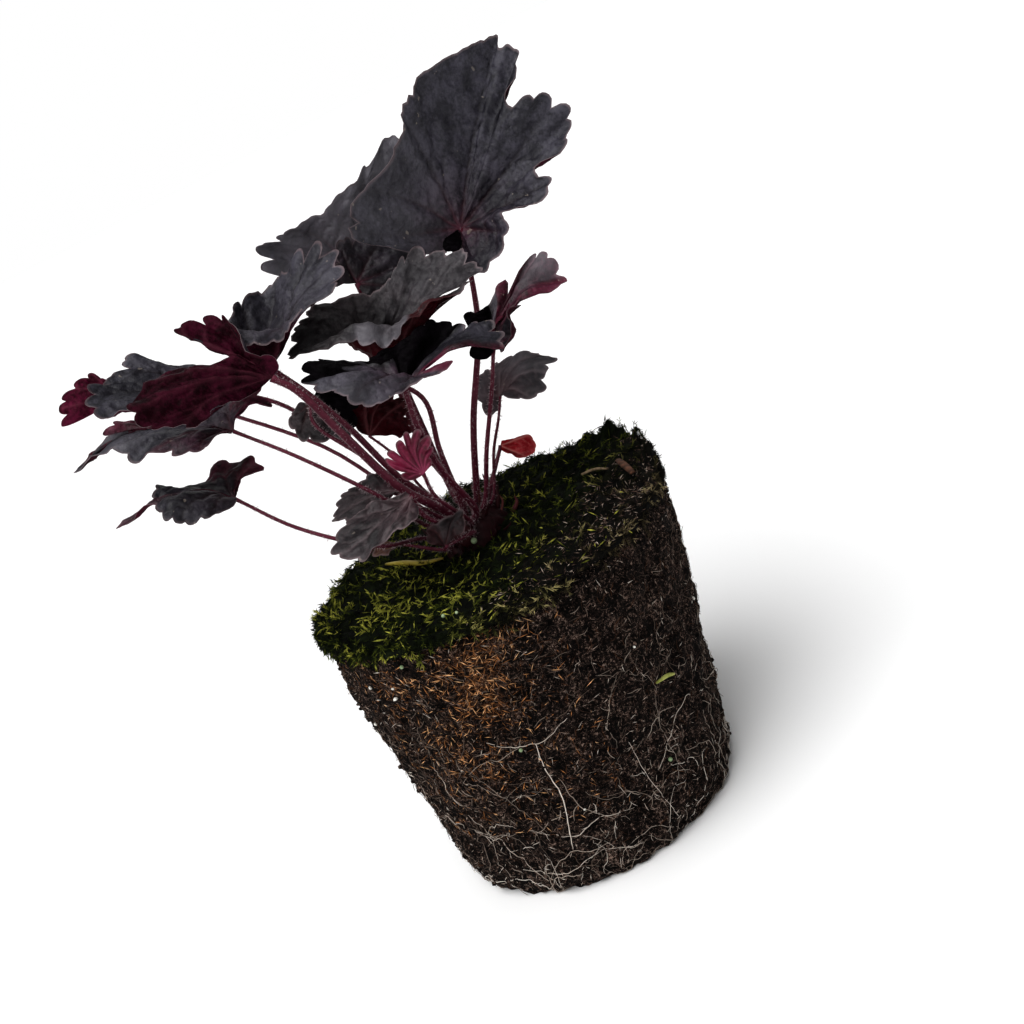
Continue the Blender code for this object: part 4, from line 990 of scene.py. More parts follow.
LEAVES = {
    "leaf_01": Leaf(
        junction=(39, 22, 192), foot=(25, 66), bends=[(15, 6, 139), (28, 12, 160), (34, 20, 173)], thick=2.2,
        notch=[
            0.06, 0.12, 0.03, 0.02, 0.02, 0.03, 0.01, 0.01, 0.01, 0.01, 0.01, 0.01, 0.01, 0.02, 0.03, 0.04,
            0.05, 0.05, 0.03, 0.02, 0.03, 0.03, 0.03, 0.02, 0.02, 0.04, 0.05, 0.05, 0.05,
        ],
        veins=[
            [(-8, -3, 0), (-15, -6, -1)], [(-17, -8, 6), (-32, -20, 15)], [(-12, -6, 14), (-27, -18, 24)],
            [(-7, -3, 15), (-15, -12, 28)], [(-2, -1, 18), (-5, -8, 34)], [(1, 0, 21), (1, -4, 42)],
            [(4, 2, 23), (9, 0, 47)], [(8, 3, 25), (18, 5, 48)], [(13, 5, 24), (29, 10, 48)],
            [(17, 6, 23), (38, 14, 47)], [(18, 6, 22), (37, 13, 43)], [(18, 5, 21), (40, 12, 43)],
            [(19, 5, 19), (42, 12, 39)], [(19, 4, 17), (39, 10, 35)], [(16, 2, 13), (31, 5, 27)],
            [(20, 3, 13), (37, 3, 27)], [(22, 3, 11), (43, 3, 25)], [(24, 3, 9), (48, 2, 18)],
            [(24, 2, 7), (46, 1, 13)], [(22, 1, 5), (41, -3, 8)], [(17, -1, 2), (29, -5, 6)],
            [(17, -3, 1), (32, -8, 2)], [(16, -4, 0), (28, -10, -2)], [(12, -5, 0), (20, -11, -2)],
            [(7, -5, -1), (13, -11, 0)], [(7, -6, -3), (13, -14, -5)], [(4, -6, -5), (8, -14, -10)],
            [(-1, -6, -7), (0, -14, -14)], [(-2, -8, -4), (-6, -14, -7)], [(-4, -6, -1), (-8, -8, -2)],
        ],
        ribs=(1.2, 2.4, 4.7, 9, 16.4, 21.3, 25.2, 28), ink=((28, 30.5, 0.1, 1),),
        bloom=((-1, 4.6, 0.15, 0.14),),
    ),
    "leaf_02": Leaf(
        junction=(2, 46, 194), foot=(88, 62), bends=[(-1, 22, 139), (1, 36, 173)], thick=2.0,
        notch=[0.12] * 6,
        veins=[
            [(-12, -4, 5), (-25, -14, 14)], [(-11, -4, 11), (-23, -14, 21)], [(-4, -2, 13), (-12, -8, 21)],
            [(6, 0, 14), (12, 0, 24)], [(16, 4, 15), (33, 10, 31)], [(20, 4, 3), (38, 6, 5)],
            [(8, 0, -9), (20, -2, -11)],
        ],
        ribs=(1, 2, 3.4, 4.2, 5.4), bloom=((-1, 9, 0.1, 0.6),),
    ),
    "leaf_03": Leaf(
        junction=(2, 20, 192), foot=(75, 84), bends=[(-4, 14, 139), (0, 18, 169)], thick=1.9,
        notch=[0.15] * 5,
        veins=[
            [(-2, -2, 3), (-6, -4, 5)], [(0, 2, 7), (1, 4, 14)], [(5, 4, 5), (11, 8, 10)],
            [(12, 4, 1), (22, 8, 0)], [(11, 0, -4), (22, 0, -9)], [(3, -3, -6), (6, -6, -12)],
        ],
        ribs=(1, 2.2, 3.4, 4.4), ink=((-1, 9, 0.1, 0.55),),
    ),
    "leaf_04": Leaf(
        junction=(-32, -18, 184), foot=(-124, 58), bends=[(-15, -11, 135), (-22, -14, 158), (-27, -17, 176)],
        thick=2.9, notch=[0.03, 0.05, 0.08, 0.08, 0.03, 0, 0, 0.02, 0.04, 0.03, 0.04, 0.12, 0.08],
        veins=[
            [(2, -1, 3), (3, -2, 6)], [(-2, -1, 6), (-2, -2, 10)], [(-2, 1, 8), (-3, 4, 21)],
            [(-3, 1, 10), (-8, 5, 24)], [(-5, 0, 11), (-14, 4, 25)], [(-7, -1, 12), (-18, 2, 24)],
            [(-3, -2, 6), (-7, -1, 12)], [(-7, -3, 9), (-17, -4, 13)], [(-12, -6, 12), (-28, -8, 17)],
            [(-16, -11, 11), (-36, -22, 15)], [(-16, -13, 8), (-35, -26, 10)], [(-16, -13, 6), (-31, -27, 6)],
            [(-13, -11, 3), (-22, -25, 2)], [(-8, -8, 1), (-17, -18, 2)],
        ],
        ribs=(2, 5, 8.4, 9.4, 11.5),
    ),
    "leaf_05": Leaf(
        junction=(-32, -8, 185), foot=(-160, 72), bends=[(-14, 0, 134), (-20, -6, 157), (-26, -10, 174)],
        thick=2.2, notch=[0.03, 0.03, 0.03, 0.03, 0.03, 0.05, 0.08, 0.06, 0.08, 0.08, 0.08, 0.05, 0.05],
        veins=[
            [(5, 0, 4), (12, -2, 10), (17, -5, 12)], [(4, -1, 4), (9, -3, 10), (8, -7, 7)],
            [(0, -1, 6), (4, -4, 11), (2, -8, 8)], [(-3, -1, 7), (0, -4, 13), (-2, -7, 10)],
            [(-5, 0, 9), (-3, -3, 16), (-5, -5, 13)], [(-5, 3, 10), (-4, 2, 17), (-6, -1, 16)],
            [(-3, 10, 9), (-3, 14, 15), (-2, 16, 20)], [(-1, 12, 8), (1, 18, 14), (3, 22, 20)],
            [(2, 12, 6), (7, 20, 12), (13, 24, 20)], [(4, 8, 6), (13, 14, 14), (23, 18, 25)],
            [(5, 5, 6), (15, 10, 14), (30, 14, 25)], [(6, 3, 6), (17, 7, 14), (34, 10, 21)],
            [(6, 3, 5), (17, 5, 13), (33, 5, 15)], [(7, 2, 5), (17, 2, 11), (29, 0, 12)],
        ],
        ribs=(1, 4, 6.6, 8, 9.6, 11.4), bloom=((-1, 14, 0.25, 0.05),),
    ),
    "leaf_06": Leaf(
        junction=(-51, 16, 182), foot=(165, 64), bends=[(-20, 24, 134), (-36, 22, 166)], thick=1.7,
        notch=[0.04, 0.05, 0.05, 0.1, 0.12, 0.05, 0.05],
        veins=[
            [(-10, -6, 2), (-21, -10, 6), (-29, -12, 10)], [(-12, -4, 5), (-26, -8, 10), (-36, -10, 12)],
            [(-13, -1, 7), (-25, -4, 12), (-38, -6, 17)], [(-12, 2, 8), (-24, 2, 13), (-36, 0, 20)],
            [(-11, 4, 9), (-19, 5, 15), (-31, 4, 19)], [(-10, 6, 10), (-17, 8, 17), (-23, 10, 22)],
            [(-7, 8, 9), (-13, 10, 15), (-18, 12, 19)], [(-6, 9, 9), (-11, 11, 12), (-17, 13, 14)],
        ],
        ribs=(1, 2.6, 4.2, 6),
    ),
    "leaf_07": Leaf(
        junction=(-49, -22, 176), foot=(-156, 47), bends=[(-21, -18, 137), (-36, -22, 160)], thick=1.4,
        notch=[0.04, 0.04, 0.14, 0.04, 0.04, 0.03, 0.02, 0.02, 0.04, 0.05, 0.08, 0.1, 0.08, 0.2, 0.1],
        veins=[
            [(-2, -3, 1), (-4, -7, 2), (-6, -9, 2)], [(-5, -4, 3), (-8, -8, 3), (-10, -10, 1)],
            [(-6, -4, 4), (-11, -8, 4), (-16, -10, 3)], [(-7, -2, 5), (-16, -6, 7), (-22, -8, 6)],
            [(-8, 0, 5), (-20, -2, 8), (-29, -4, 6)], [(-9, 2, 5), (-22, 0, 10), (-32, -2, 11)],
            [(-12, 3, 7), (-24, 3, 11), (-35, 1, 12)], [(-13, 4, 8), (-30, 6, 13), (-47, 4, 10)],
            [(-12, 5, 7), (-24, 6, 12), (-35, 5, 14)], [(-11, 5, 7), (-23, 6, 12), (-34, 6, 16)],
            [(-9, 6, 6), (-21, 8, 11), (-29, 9, 17)], [(-7, 6, 5), (-13, 9, 8), (-21, 11, 12)],
            [(-3, 6, 4), (-5, 10, 7), (-8, 12, 7)], [(0, 5, 4), (1, 9, 7), (4, 12, 9)],
            [(1, 4, 3), (5, 8, 6), (12, 11, 7)], [(2, 3, 3), (7, 6, 4), (13, 8, 0)],
        ],
        ribs=(1, 3, 7, 10, 13), blush=((-1, 3.4, 0.35, 0.4), (8.5, 10.4, 0.45, 1), (13.4, 16, 0.5, 1)),
        bloom=((4.5, 9.5, 0.7, 0.35),),
    ),
    "leaf_08": Leaf(
        junction=(-58, -26, 159), foot=(-152, 34), bends=[(-29, -22, 125), (-46, -26, 142)], thick=1.4,
        notch=[0.05, 0.1, 0.05, 0.1, 0.05, 0.04, 0.02, 0.02, 0.02, 0.04, 0.04, 0.04, 0.04, 0.04, 0.04, 0.04],
        veins=[
            [(0, -4, 1), (-1, -8, 1), (-3, -11, 1)], [(-2, -4, 3), (-4, -9, 3), (-7, -13, 1)],
            [(-3, -4, 4), (-7, -10, 5), (-12, -13, 2)], [(-4, -3, 5), (-10, -10, 7), (-15, -13, 4)],
            [(-5, -3, 6), (-13, -9, 9), (-18, -12, 6)], [(-6, -1, 6), (-15, -6, 10), (-19, -9, 10)],
            [(-7, 0, 6), (-16, -4, 10), (-21, -6, 11)], [(-7, 0, 7), (-19, -3, 11), (-33, -4, 9)],
            [(-7, 1, 6), (-16, -1, 10), (-21, -2, 11)], [(-7, 2, 6), (-15, 0, 10), (-20, -1, 12)],
            [(-6, 3, 6), (-13, 3, 10), (-18, 3, 13)], [(-6, 5, 5), (-11, 6, 8), (-14, 7, 9)],
            [(-4, 6, 4), (-6, 9, 6), (-10, 12, 6)], [(-2, 8, 4), (-3, 13, 6), (-1, 17, 8)],
            [(0, 7, 3), (2, 11, 5), (5, 15, 6)], [(1, 6, 2), (4, 9, 4), (9, 12, 6)],
            [(1, 5, 2), (4, 7, 3), (11, 9, 2)],
        ],
        ribs=(1, 3, 7, 10, 13.5, 15.5),
        blush=((14.6, 17, 0.4, 1), (12.2, 14.6, 0.5, 0.8), (5.5, 8.5, 0.55, 0.45)),
        ink=((-1, 4.6, 0.2, 0.6), (9.5, 12.4, 0.2, 0.7), (4.6, 9.5, 0, 0.3), (12.4, 17, 0, 0.3)),
    ),
    "leaf_09": Leaf(
        junction=(-5, -4, 167), foot=(-95, 74), bends=[(1, -2, 137), (4, -2, 154)], thick=1.9,
        notch=[
            0.04, 0.03, 0.03, 0.03, 0.03, 0.06, 0.08, 0.06, 0.06, 0.03, 0.06, 0.04, 0.06, 0.05, 0.06, 0.05,
        ],
        veins=[
            [(10, -2, 5), (27, -2, 12), (39, -2, 13)], [(9, -3, 5), (20, -4, 14), (26, -6, 13)],
            [(7, -3, 6), (17, -5, 13), (17, -9, 13)], [(6, -3, 6), (13, -5, 13), (12, -10, 10)],
            [(4, -3, 6), (9, -5, 14), (6, -10, 9)], [(2, -3, 8), (4, -5, 17), (1, -10, 12)],
            [(1, -2, 9), (-1, -4, 18), (-4, -8, 15)], [(0, 2, 9), (-8, 0, 17), (-21, -3, 18)],
            [(1, 5, 9), (-6, 6, 20), (-16, 5, 24)], [(2, 6, 9), (-2, 8, 21), (-8, 9, 27)],
            [(3, 8, 9), (3, 11, 19), (4, 13, 24)], [(5, 9, 8), (10, 11, 15), (14, 14, 22)],
            [(6, 9, 7), (14, 11, 17), (22, 14, 27)], [(7, 8, 7), (18, 11, 16), (29, 14, 28)],
            [(8, 6, 6), (22, 8, 15), (35, 12, 23)], [(9, 4, 6), (24, 6, 14), (41, 9, 22)],
            [(9, 2, 5), (25, 3, 13), (44, 5, 14)],
        ],
        ribs=(1, 3.5, 7, 10, 13, 15), blush=((0.4, 2.2, 0.45, 1),), ink=((5.6, 8.4, 0.7, 0.6),),
        bloom=((1.2, 5.8, 0.72, 0.6), (11, 17, 0.5, 0.12)), skin="crinkled",
    ),
    "leaf_10": Leaf(
        junction=(1, -26, 165), foot=(-80, 58), bends=[(-1, -16, 135), (-1, -23, 152)], thick=2.2,
        notch=[
            0.05, 0.05, 0.03, 0.03, 0.05, 0.08, 0.08, 0.1, 0.08, 0.05, 0.1, 0.05, 0.04, 0.05, 0.04, 0.05,
            0.12, 0.04, 0.05, 0.03,
        ],
        veins=[
            [(4, -1, 1), (10, -5, 2), (16, -5, 1)], [(3, -2, 2), (7, -6, 2), (9, -8, 1)],
            [(2, -3, 4), (-2, -8, 3), (-6, -10, 1)], [(-1, -3, 6), (-7, -9, 6), (-11, -11, 2)],
            [(-1, -2, 6), (-9, -10, 8), (-15, -11, 5)], [(-3, -2, 7), (-11, -9, 9), (-17, -9, 9)],
            [(-5, -1, 8), (-14, -5, 12), (-22, -7, 12)], [(-5, 0, 8), (-16, -3, 13), (-25, -5, 16)],
            [(-5, 1, 8), (-15, 0, 14), (-23, 1, 19)], [(-4, 4, 7), (-10, 6, 12), (-17, 6, 18)],
            [(-1, 5, 7), (-6, 7, 10), (-13, 8, 12)], [(1, 6, 7), (0, 8, 9), (-2, 9, 11)],
            [(3, 6, 6), (5, 9, 9), (6, 10, 11)], [(5, 6, 5), (9, 9, 8), (11, 11, 12)],
            [(6, 6, 4), (12, 11, 6), (16, 13, 12)], [(7, 6, 3), (14, 11, 5), (20, 14, 9)],
            [(7, 5, 3), (16, 10, 4), (24, 13, 6)], [(7, 4, 3), (18, 8, 4), (27, 10, 6)],
            [(7, 3, 2), (20, 4, 5), (32, 6, 4)], [(6, 1, 2), (19, 0, 5), (33, 1, 0)],
            [(5, 0, 1), (18, -4, 5), (31, -4, -2)],
        ],
        ribs=(1, 4, 7, 9, 11.5, 15, 19), blush=((19.8, 22, 0.3, 1), (-1, 0.4, 0.5, 1)),
        ink=((10.8, 16, 0.1, 1), (6.8, 9.4, 0.55, 1), (9.4, 11, 0.35, 0.9), (16.6, 20.4, 0.3, 0.35)),
        bloom=((1.5, 6.6, 0.4, 0.12), (14.5, 16.4, 0.9, 0.3)),
    ),
    "leaf_11": Leaf(
        junction=(-17, 9, 149), foot=(160, 76), bends=[(-10, 12, 124), (-13, 11, 139)], thick=1.1,
        notch=[0.12] * 4,
        veins=[
            [(8, 0, -2), (13, 0, -5)], [(8, 2, 3), (16, 2, 4)], [(5, 2, 6), (12, 4, 9)],
            [(2, 0, 7), (6, 2, 13)], [(-1, 0, 5), (0, 0, 13)],
        ],
        ribs=(1, 2, 3), skin="crinkled",
    ),
    "leaf_12": Leaf(
        junction=(-28, 2, 168), foot=(-176, 58), bends=[(-20, 4, 142), (-29, -1, 161)], thick=1.4,
        notch=[0.12] * 7,
        veins=[
            [(5, 3, 1), (10, 5, 0)], [(6, 3, -2), (13, 5, -7)], [(5, 2, -6), (10, 4, -13)],
            [(2, 2, -8), (5, 4, -16)], [(-1, 2, -7), (-3, 4, -13)], [(-5, 2, -5), (-9, 4, -10)],
            [(-5, 2, -2), (-9, 4, -3)], [(-3, 3, 0), (-6, 5, 0)],
        ],
        ribs=(1, 3, 5, 6.6), ink=((-1, 2.5, 0.3, 1),), skin="crinkled",
    ),
    "leaf_13": Leaf(
        junction=(30, -4, 158), foot=(-20, 62), bends=[(14, -2, 130), (24, -4, 147)], thick=1.6,
        notch=[0.06, 0.03, 0.04, 0.04, 0.06, 0.35, 0.05, 0.03, 0.05, 0.04, 0.6, 0.06, 0.05],
        veins=[
            [(-1, -3, 1), (-4, -6, 2), (-7, -9, 4)], [(-2, -2, 3), (-3, -4, 7), (-4, -5, 10)],
            [(-1, -1, 4), (-2, -2, 10), (-3, 0, 14)], [(2, 2, 5), (3, 4, 9), (3, 4, 12)],
            [(2, 2, 5), (6, 4, 10), (8, 6, 14)], [(5, 3, 7), (9, 5, 12), (11, 7, 16)],
            [(6, 3, 7), (14, 6, 12), (24, 9, 19)], [(6, 3, 7), (15, 5, 13), (28, 8, 18)],
            [(6, 3, 6), (16, 4, 12), (30, 6, 14)], [(6, 2, 6), (17, 2, 12), (30, 3, 8)],
            [(6, 1, 6), (15, 0, 11), (26, 0, 8)], [(6, -1, 4), (9, -3, 8), (11, -4, 10)],
            [(5, -3, 2), (8, -6, 4), (8, -8, 7)], [(3, -5, 1), (4, -8, 1), (3, -9, 1)],
        ],
        ribs=(1, 3.4, 6.4, 9, 12),
        blush=((4.6, 6, 0.3, 1), (9.6, 10.6, 0.3, 1), (8.6, 9.7, 0.75, 1), (5.6, 9.5, 0.35, 0.6)),
        ink=((-1, 3.6, 0.25, 0.9), (10.6, 13, 0.3, 0.7)), bloom=((5.8, 8.6, 0.7, 1), (3.6, 6, 0.3, 0.4)),
    ),
    "leaf_14": Leaf(
        junction=(26, 12, 140), foot=(10, 50), bends=[(16, 14, 124), (22, 13, 133)], thick=1.1,
        notch=[0.08, 0.05, 0.18, 0.05, 0.05, 0.12, 0.08, 0.05, 0.08],
        veins=[
            [(-1, 2, -2), (-4, 3, -3), (-7, 4, -4)], [(-2, 3, 1), (-5, 4, 2), (-7, 5, 5)],
            [(-1, 3, 3), (-2, 5, 6), (-3, 6, 8)], [(2, 3, 4), (4, 5, 7), (7, 7, 9)],
            [(5, 3, 5), (10, 5, 7), (15, 7, 7)], [(6, 2, 5), (14, 4, 5), (22, 6, 1)],
            [(7, 1, 3), (13, 3, 2), (17, 4, -1)], [(6, 0, 2), (10, 0, -1), (14, 0, -5)],
            [(4, -1, 1), (7, -2, -2), (9, -2, -5)], [(2, -2, 1), (3, -4, -1), (3, -5, -2)],
        ],
        ribs=(1, 3, 4.4, 6, 8), bloom=((-1, 10, 0.3, 0.3),), skin="grey",
    ),
    "leaf_15": Leaf(
        junction=(-6, -25, 139), foot=(-98, 46), bends=[(-6, -20, 129)], thick=1.5,
        notch=[0.35, 0.3, 0.5, 0.35, 0.3, 0.5, 0.3, 0.3],
        veins=[
            [(-2, 0, 1), (-6, 0, 1)], [(-4, -1, 4), (-8, -2, 9)], [(-3, -2, 6), (-6, -3, 12)],
            [(-2, -1, 7), (-2, -2, 13)], [(0, 0, 8), (1, -1, 14)], [(1, 0, 8), (5, 0, 13)],
            [(2, 1, 6), (7, 1, 9)], [(3, 1, 4), (6, 2, 5)], [(3, 1, 2), (4, 2, 1)],
        ],
        skin="young",
    ),
    "leaf_16": Leaf(
        junction=(-12, -26, 135), foot=(-112, 34), bends=[(-12, -20, 126)], thick=1.7, notch=[0.04] * 10,
        veins=[
            [(-1, -3, -1), (-1, -6, -3), (-2, -8, -5)], [(-2, -4, -1), (-4, -8, -3), (-6, -10, -5)],
            [(-3, -4, -2), (-7, -9, -2), (-10, -11, -4)], [(-5, -4, -1), (-10, -9, -3), (-15, -11, -6)],
            [(-6, -3, -1), (-13, -8, -4), (-21, -10, -8)], [(-7, -2, -1), (-16, -6, -4), (-26, -7, -6)],
            [(-7, -1, -1), (-18, -3, -2), (-29, -4, -3)], [(-7, 1, -1), (-16, 0, -1), (-25, 0, 0)],
            [(-5, 2, -1), (-13, 3, 0), (-20, 3, 2)], [(-4, 3, -1), (-8, 5, 0), (-12, 6, 2)],
            [(-2, 3, 0), (-4, 5, 0), (-6, 6, 1)],
        ],
        ribs=(1, 3, 5.4, 8, 9.6), skin="grey",
    ),
    "leaf_17": Leaf(
        junction=(-16, -4, 132), foot=(-158, 60), bends=[(-13, 0, 123)], thick=1.5, notch=[0.03] * 3,
        veins=[
            [(-5, -4, 1), (-17, -6, 0)], [(-10, -2, 3), (-23, -2, 2)], [(-8, 2, 3), (-17, 4, 6)],
            [(-4, 4, 3), (-7, 8, 7)],
        ],
        ribs=(1, 2), skin="grey",
    ),
    "leaf_18": Leaf(
        junction=(-11, -20, 114), foot=(-100, 34), bends=[], thick=1.7, notch=[0.04] * 4,
        veins=[
            [(-1, -2, 3), (-4, -4, 6)], [(0, 0, 4), (-1, 0, 8)], [(2, 1, 4), (4, 2, 8)],
            [(5, 2, 4), (10, 4, 7)], [(5, 2, 2), (9, 3, 3)],
        ],
        ribs=(1, 2.6), blush=((-1, 1.4, 0.2, 0.6), (3.2, 5, 0.3, 0.5)), skin="crinkled",
    ),
    "leaf_19": Leaf(
        junction=(19, 20, 123), foot=(40, 40), bends=[], thick=1.7, notch=[0.02] * 7,
        veins=[
            [(0, -1, -1), (1, -2, -3)], [(2, -4, -2), (3, -3, -5)], [(3, -5, -2), (6, -3, -6)],
            [(4, -5, -1), (9, -2, -7)], [(5, -4, -1), (11, -1, -5)], [(5, -3, 0), (10, 1, -2)],
            [(3, -1, 1), (6, 2, -1)], [(2, 0, 1), (3, 2, 0)],
        ],
        ribs=(2, 5), skin="old",
    ),
    "leaf_20": Leaf(
        junction=(-23, -5, 116), foot=(-140, 24), bends=[], thick=1.3, notch=[0.08] * 2,
        veins=[
            [(-4, -2, 1), (-6, -3, 0)], [(-5, 0, 1), (-10, -1, 2)], [(-5, 2, 2), (-9, 3, 3)],
        ],
        ribs=(1,), skin="fading",
    ),
    "leaf_21": Leaf(
        junction=(-82, 22, 195), foot=(140, 48), bends=[(-32, 30, 146), (-57, 30, 174), (-69, 24, 188)],
        thick=1.4, notch=[0.08] * 5,
        veins=[
            [(0, 0, 3), (0, 0, 6)], [(-1, 0, 4), (-3, 0, 10)], [(-3, -1, 5), (-8, -1, 10)],
            [(-5, -1, 4), (-14, -2, 8)], [(-7, -1, 2), (-17, -3, 5)], [(-6, -2, 0), (-19, -4, 0)],
        ],
        ribs=(1, 2.5, 4), blush=((-1, 12, 0.1, 1),),
    ),
}

STALK_STEPS = 30
STALK_SIDES = 9
STALK_STRAIGHT = 0.25
STALK_FOOT_SWELL = 0.45
STALK_TIP_TAPER = 0.7
HAIRS_PER_MM = 7.0
HAIR_LENGTH = (0.5, 1.4)
HAIR_WIDTH = 0.06
HAIR_COLOURS = ((0.3, (0.36, 0.22, 0.25)), (0.7, (0.66, 0.56, 0.57)))


def stalk_course(leaf):
    """The middle line of a leaf's stalk, from the crown to the junction, and its half widths."""
    foot, way = on_crown(*(math.radians(angle) for angle in leaf.foot))
    bends = [np.array(bend, float) for bend in leaf.bends]
    junction = np.array(leaf.junction, float)
    straight = STALK_STRAIGHT * np.linalg.norm((bends + [junction])[0] - foot)
    route = [foot - way * 1.2, foot + way * straight, *bends, junction]
    share = np.linspace(0, 1, STALK_STEPS)
    line = catmull(route, share * (len(route) - 1))
    swell = 1 + STALK_FOOT_SWELL * np.exp(-share / 0.06) + 0.35 * np.exp(-(1 - share) / 0.02)
    half = leaf.thick / 2 * (1 - (1 - STALK_TIP_TAPER) * share**2) * swell
    return line, half


stalk_skin = tinted_material(
    "stalk_burgundy",
    (
        (0.1, (0.012, 0.001, 0.004)), (0.45, (0.080, 0.009, 0.022)), (0.8, (0.20, 0.052, 0.080)),
        (1.0, (0.34, 0.18, 0.20)),
    ),
    scale=700.0, roughness=0.45, bump=0.00025, Specular_IOR_Level=0.15,
)
hair_white = new_material("hair_white", (0.62, 0.50, 0.50, 1.0), Roughness=0.6)
finish_material(hair_white, shade(hair_white, speckle(hair_white, 300.0), HAIR_COLOURS))

draw = np.random.RandomState(61)
hair_starts, hair_ends = [], []
for name, leaf in LEAVES.items():
    line, half = stalk_course(leaf)
    points, faces = tubes([line], [half], sides=STALK_SIDES)
    # Painted highlight and shade: each stalk is lighter and pinker along two opposite sides, darker between
    # them.
    painted_highlight_stripes = np.cos(np.linspace(0, math.tau, STALK_SIDES, endpoint=False) * 2)
    tone = 0.42 + 0.16 * painted_highlight_stripes + 0.15 * lumps(points, 9.0, leaf.thick)
    make_piece(name + "_stalk_skin", points, faces, stalk_skin, "stalk", [name + "_stalk"], tone=tone)
    length = np.linalg.norm(np.diff(line, axis=0), axis=1).sum()
    count = int(length * HAIRS_PER_MM)
    spot = draw.uniform(0.5, STALK_STEPS - 1.5, count)
    middle, ahead = catmull(line, spot), unit(catmull(line, spot + 0.3) - catmull(line, spot))
    out = unit(np.cross(ahead, draw.normal(0, 1, (count, 3))))
    start = middle + out * catmull(half[:, None], spot) * 0.9
    reach = draw.uniform(*HAIR_LENGTH, (count, 1))
    lean = unit(out + 0.35 * draw.normal(0, 1, (count, 3)))
    hair_starts.append(start)
    hair_ends.append(start + lean * reach)
points, faces = needles(np.concatenate(hair_starts), np.concatenate(hair_ends), HAIR_WIDTH, 0.2)
make_piece("stalk_hairs", points, faces, hair_white, "stalk")


# The leaf blades: thin, lobed, hairy-edged sheets, one on each stalk. The upper face is near-black with a
# satin grey sheen and puckered between sunken veins. The underside is burgundy, with raised paler veins.

BLADE_HALF_THICK = 0.17
BASAL_REACH = 0.6
BASAL_SHRINK = 0.5
NOTCH_POWER = 3.6
TOOTH_WIDTH = 4.6
TOOTH_DEPTH = 1.25
SHALLOW_NOTCH = 0.03
# A blade's points are about this far apart, within these limits round its edge and from its middle out.
POINT_SPACING = 1.0
COLUMN_LIMITS = (96, 190)
ROW_LIMITS = (22, 56)
RIB_STEPS = 40
BRANCH_STEPS = 12
BRANCH_STARTS = (0.24, 0.36, 0.48, 0.60, 0.71, 0.81)
BRANCH_RISE = 0.24
MAIN_GROOVE = 0.80
SIDE_GROOVE = 0.40
QUILT = 0.75
PUCKERS = {"dark": 0.58, "crinkled": 1.15, "grey": 0.60, "young": 0.2, "old": 0.15, "fading": 0.2}
RIPPLE = 0.7
RIPPLE_LENGTH = 13.0
RIB_WIDTH = 0.62
SIDE_VEIN_WIDTH = 0.45
RIM_WIDTH = 0.9
# How softly a stain ends, in counts of veins and in shares of their length.
STAIN_EDGE_ACROSS = 0.35
STAIN_EDGE_ALONG = 0.15
# The painted satin grey highlight on some upper faces, the pale hairy rim, and the near-black painted shade
# of the faces that curl inwards.
PAINTED_SHEEN_GREY = (0.20, 0.19, 0.215)
PALE_RIM = (0.27, 0.20, 0.21)
PAINTED_SHADE_BLACK = (0.0012, 0.0008, 0.0012)
DRY_SPECK = (0.40, 0.34, 0.28)
# An upper face takes the near-black shadowed material where its painted shade is stronger than this.
SHADOWED_FROM = 0.8


def margin(leaf, across):
    """How much of a vein's length the blade keeps here: all of it on a vein, less in the notches."""
    last = len(leaf.veins) - 1
    beyond = np.maximum(np.maximum(-across, across - last), 0.0)
    base = 1.0 - (1.0 - BASAL_SHRINK) * (beyond / BASAL_REACH) ** 1.5
    gap = np.clip(np.floor(across).astype(int), 0, last - 1)
    depth = np.array(leaf.notch)[gap] * (2 * np.abs(across - np.round(across))) ** NOTCH_POWER
    return np.where(beyond > 0, base, 1.0 - depth)


def blade_grid(leaf, across, along):
    """The blade's middle surface, at every pair of across, which counts veins, and along."""
    veins = np.array([[(0, 0, 0), *vein] for vein in leaf.veins], float)
    lines = catmull(veins, across)
    reach = np.linalg.norm(lines[:, -1], axis=1)
    spacing = np.linalg.norm(np.diff(veins[:, -1], axis=0), axis=1)
    gap = np.clip(np.floor(across).astype(int), 0, len(spacing) - 1)
    teeth = 2 * np.round((spacing[gap] / TOOTH_WIDTH - 1) / 2).clip(0) + 1
    shallow = np.clip(np.array(leaf.notch)[gap] / SHALLOW_NOTCH, 0.3, 1)
    bite = TOOTH_DEPTH * shallow * np.clip(spacing[gap] / TOOTH_WIDTH - 0.7, 0, 1) / reach
    scallop = 1 - bite * (1 - np.abs(np.cos(math.pi * teeth * across)) ** 0.7)
    steps = veins.shape[1] - 1
    place = along[None] * (margin(leaf, across) * scallop)[:, None] * steps
    index = np.clip(np.floor(place).astype(int), 0, steps - 1)
    t = (place - index)[..., None]
    row = np.arange(len(across))[:, None]
    start, end = lines[row, index], lines[row, index + 1]
    before = np.where(index[..., None] > 0, lines[row, np.maximum(index - 1, 0)], 2 * start - end)
    after = np.where(index[..., None] < steps - 1, lines[row, np.minimum(index + 2, steps)], 2 * end - start)
    return np.array(leaf.junction, float) + cubic(before, start, end, after, t)


def stain(ranges, across, along, soft=1.0):
    """How strongly a stain covers the blade, at each count of veins and share of their length."""
    covered = np.zeros((len(across), len(along)))
    for low, high, start, strength in ranges:
        past_low = np.clip((across - low) / (STAIN_EDGE_ACROSS * soft) + 0.5, 0, 1)
        before_high = np.clip((high - across) / (STAIN_EDGE_ACROSS * soft) + 0.5, 0, 1)
        started = np.clip((along[None] - start) / (STAIN_EDGE_ALONG * soft) + 0.5, 0, 1)
        covered = np.maximum(covered, strength * (past_low * before_high)[:, None] * started)
    return covered


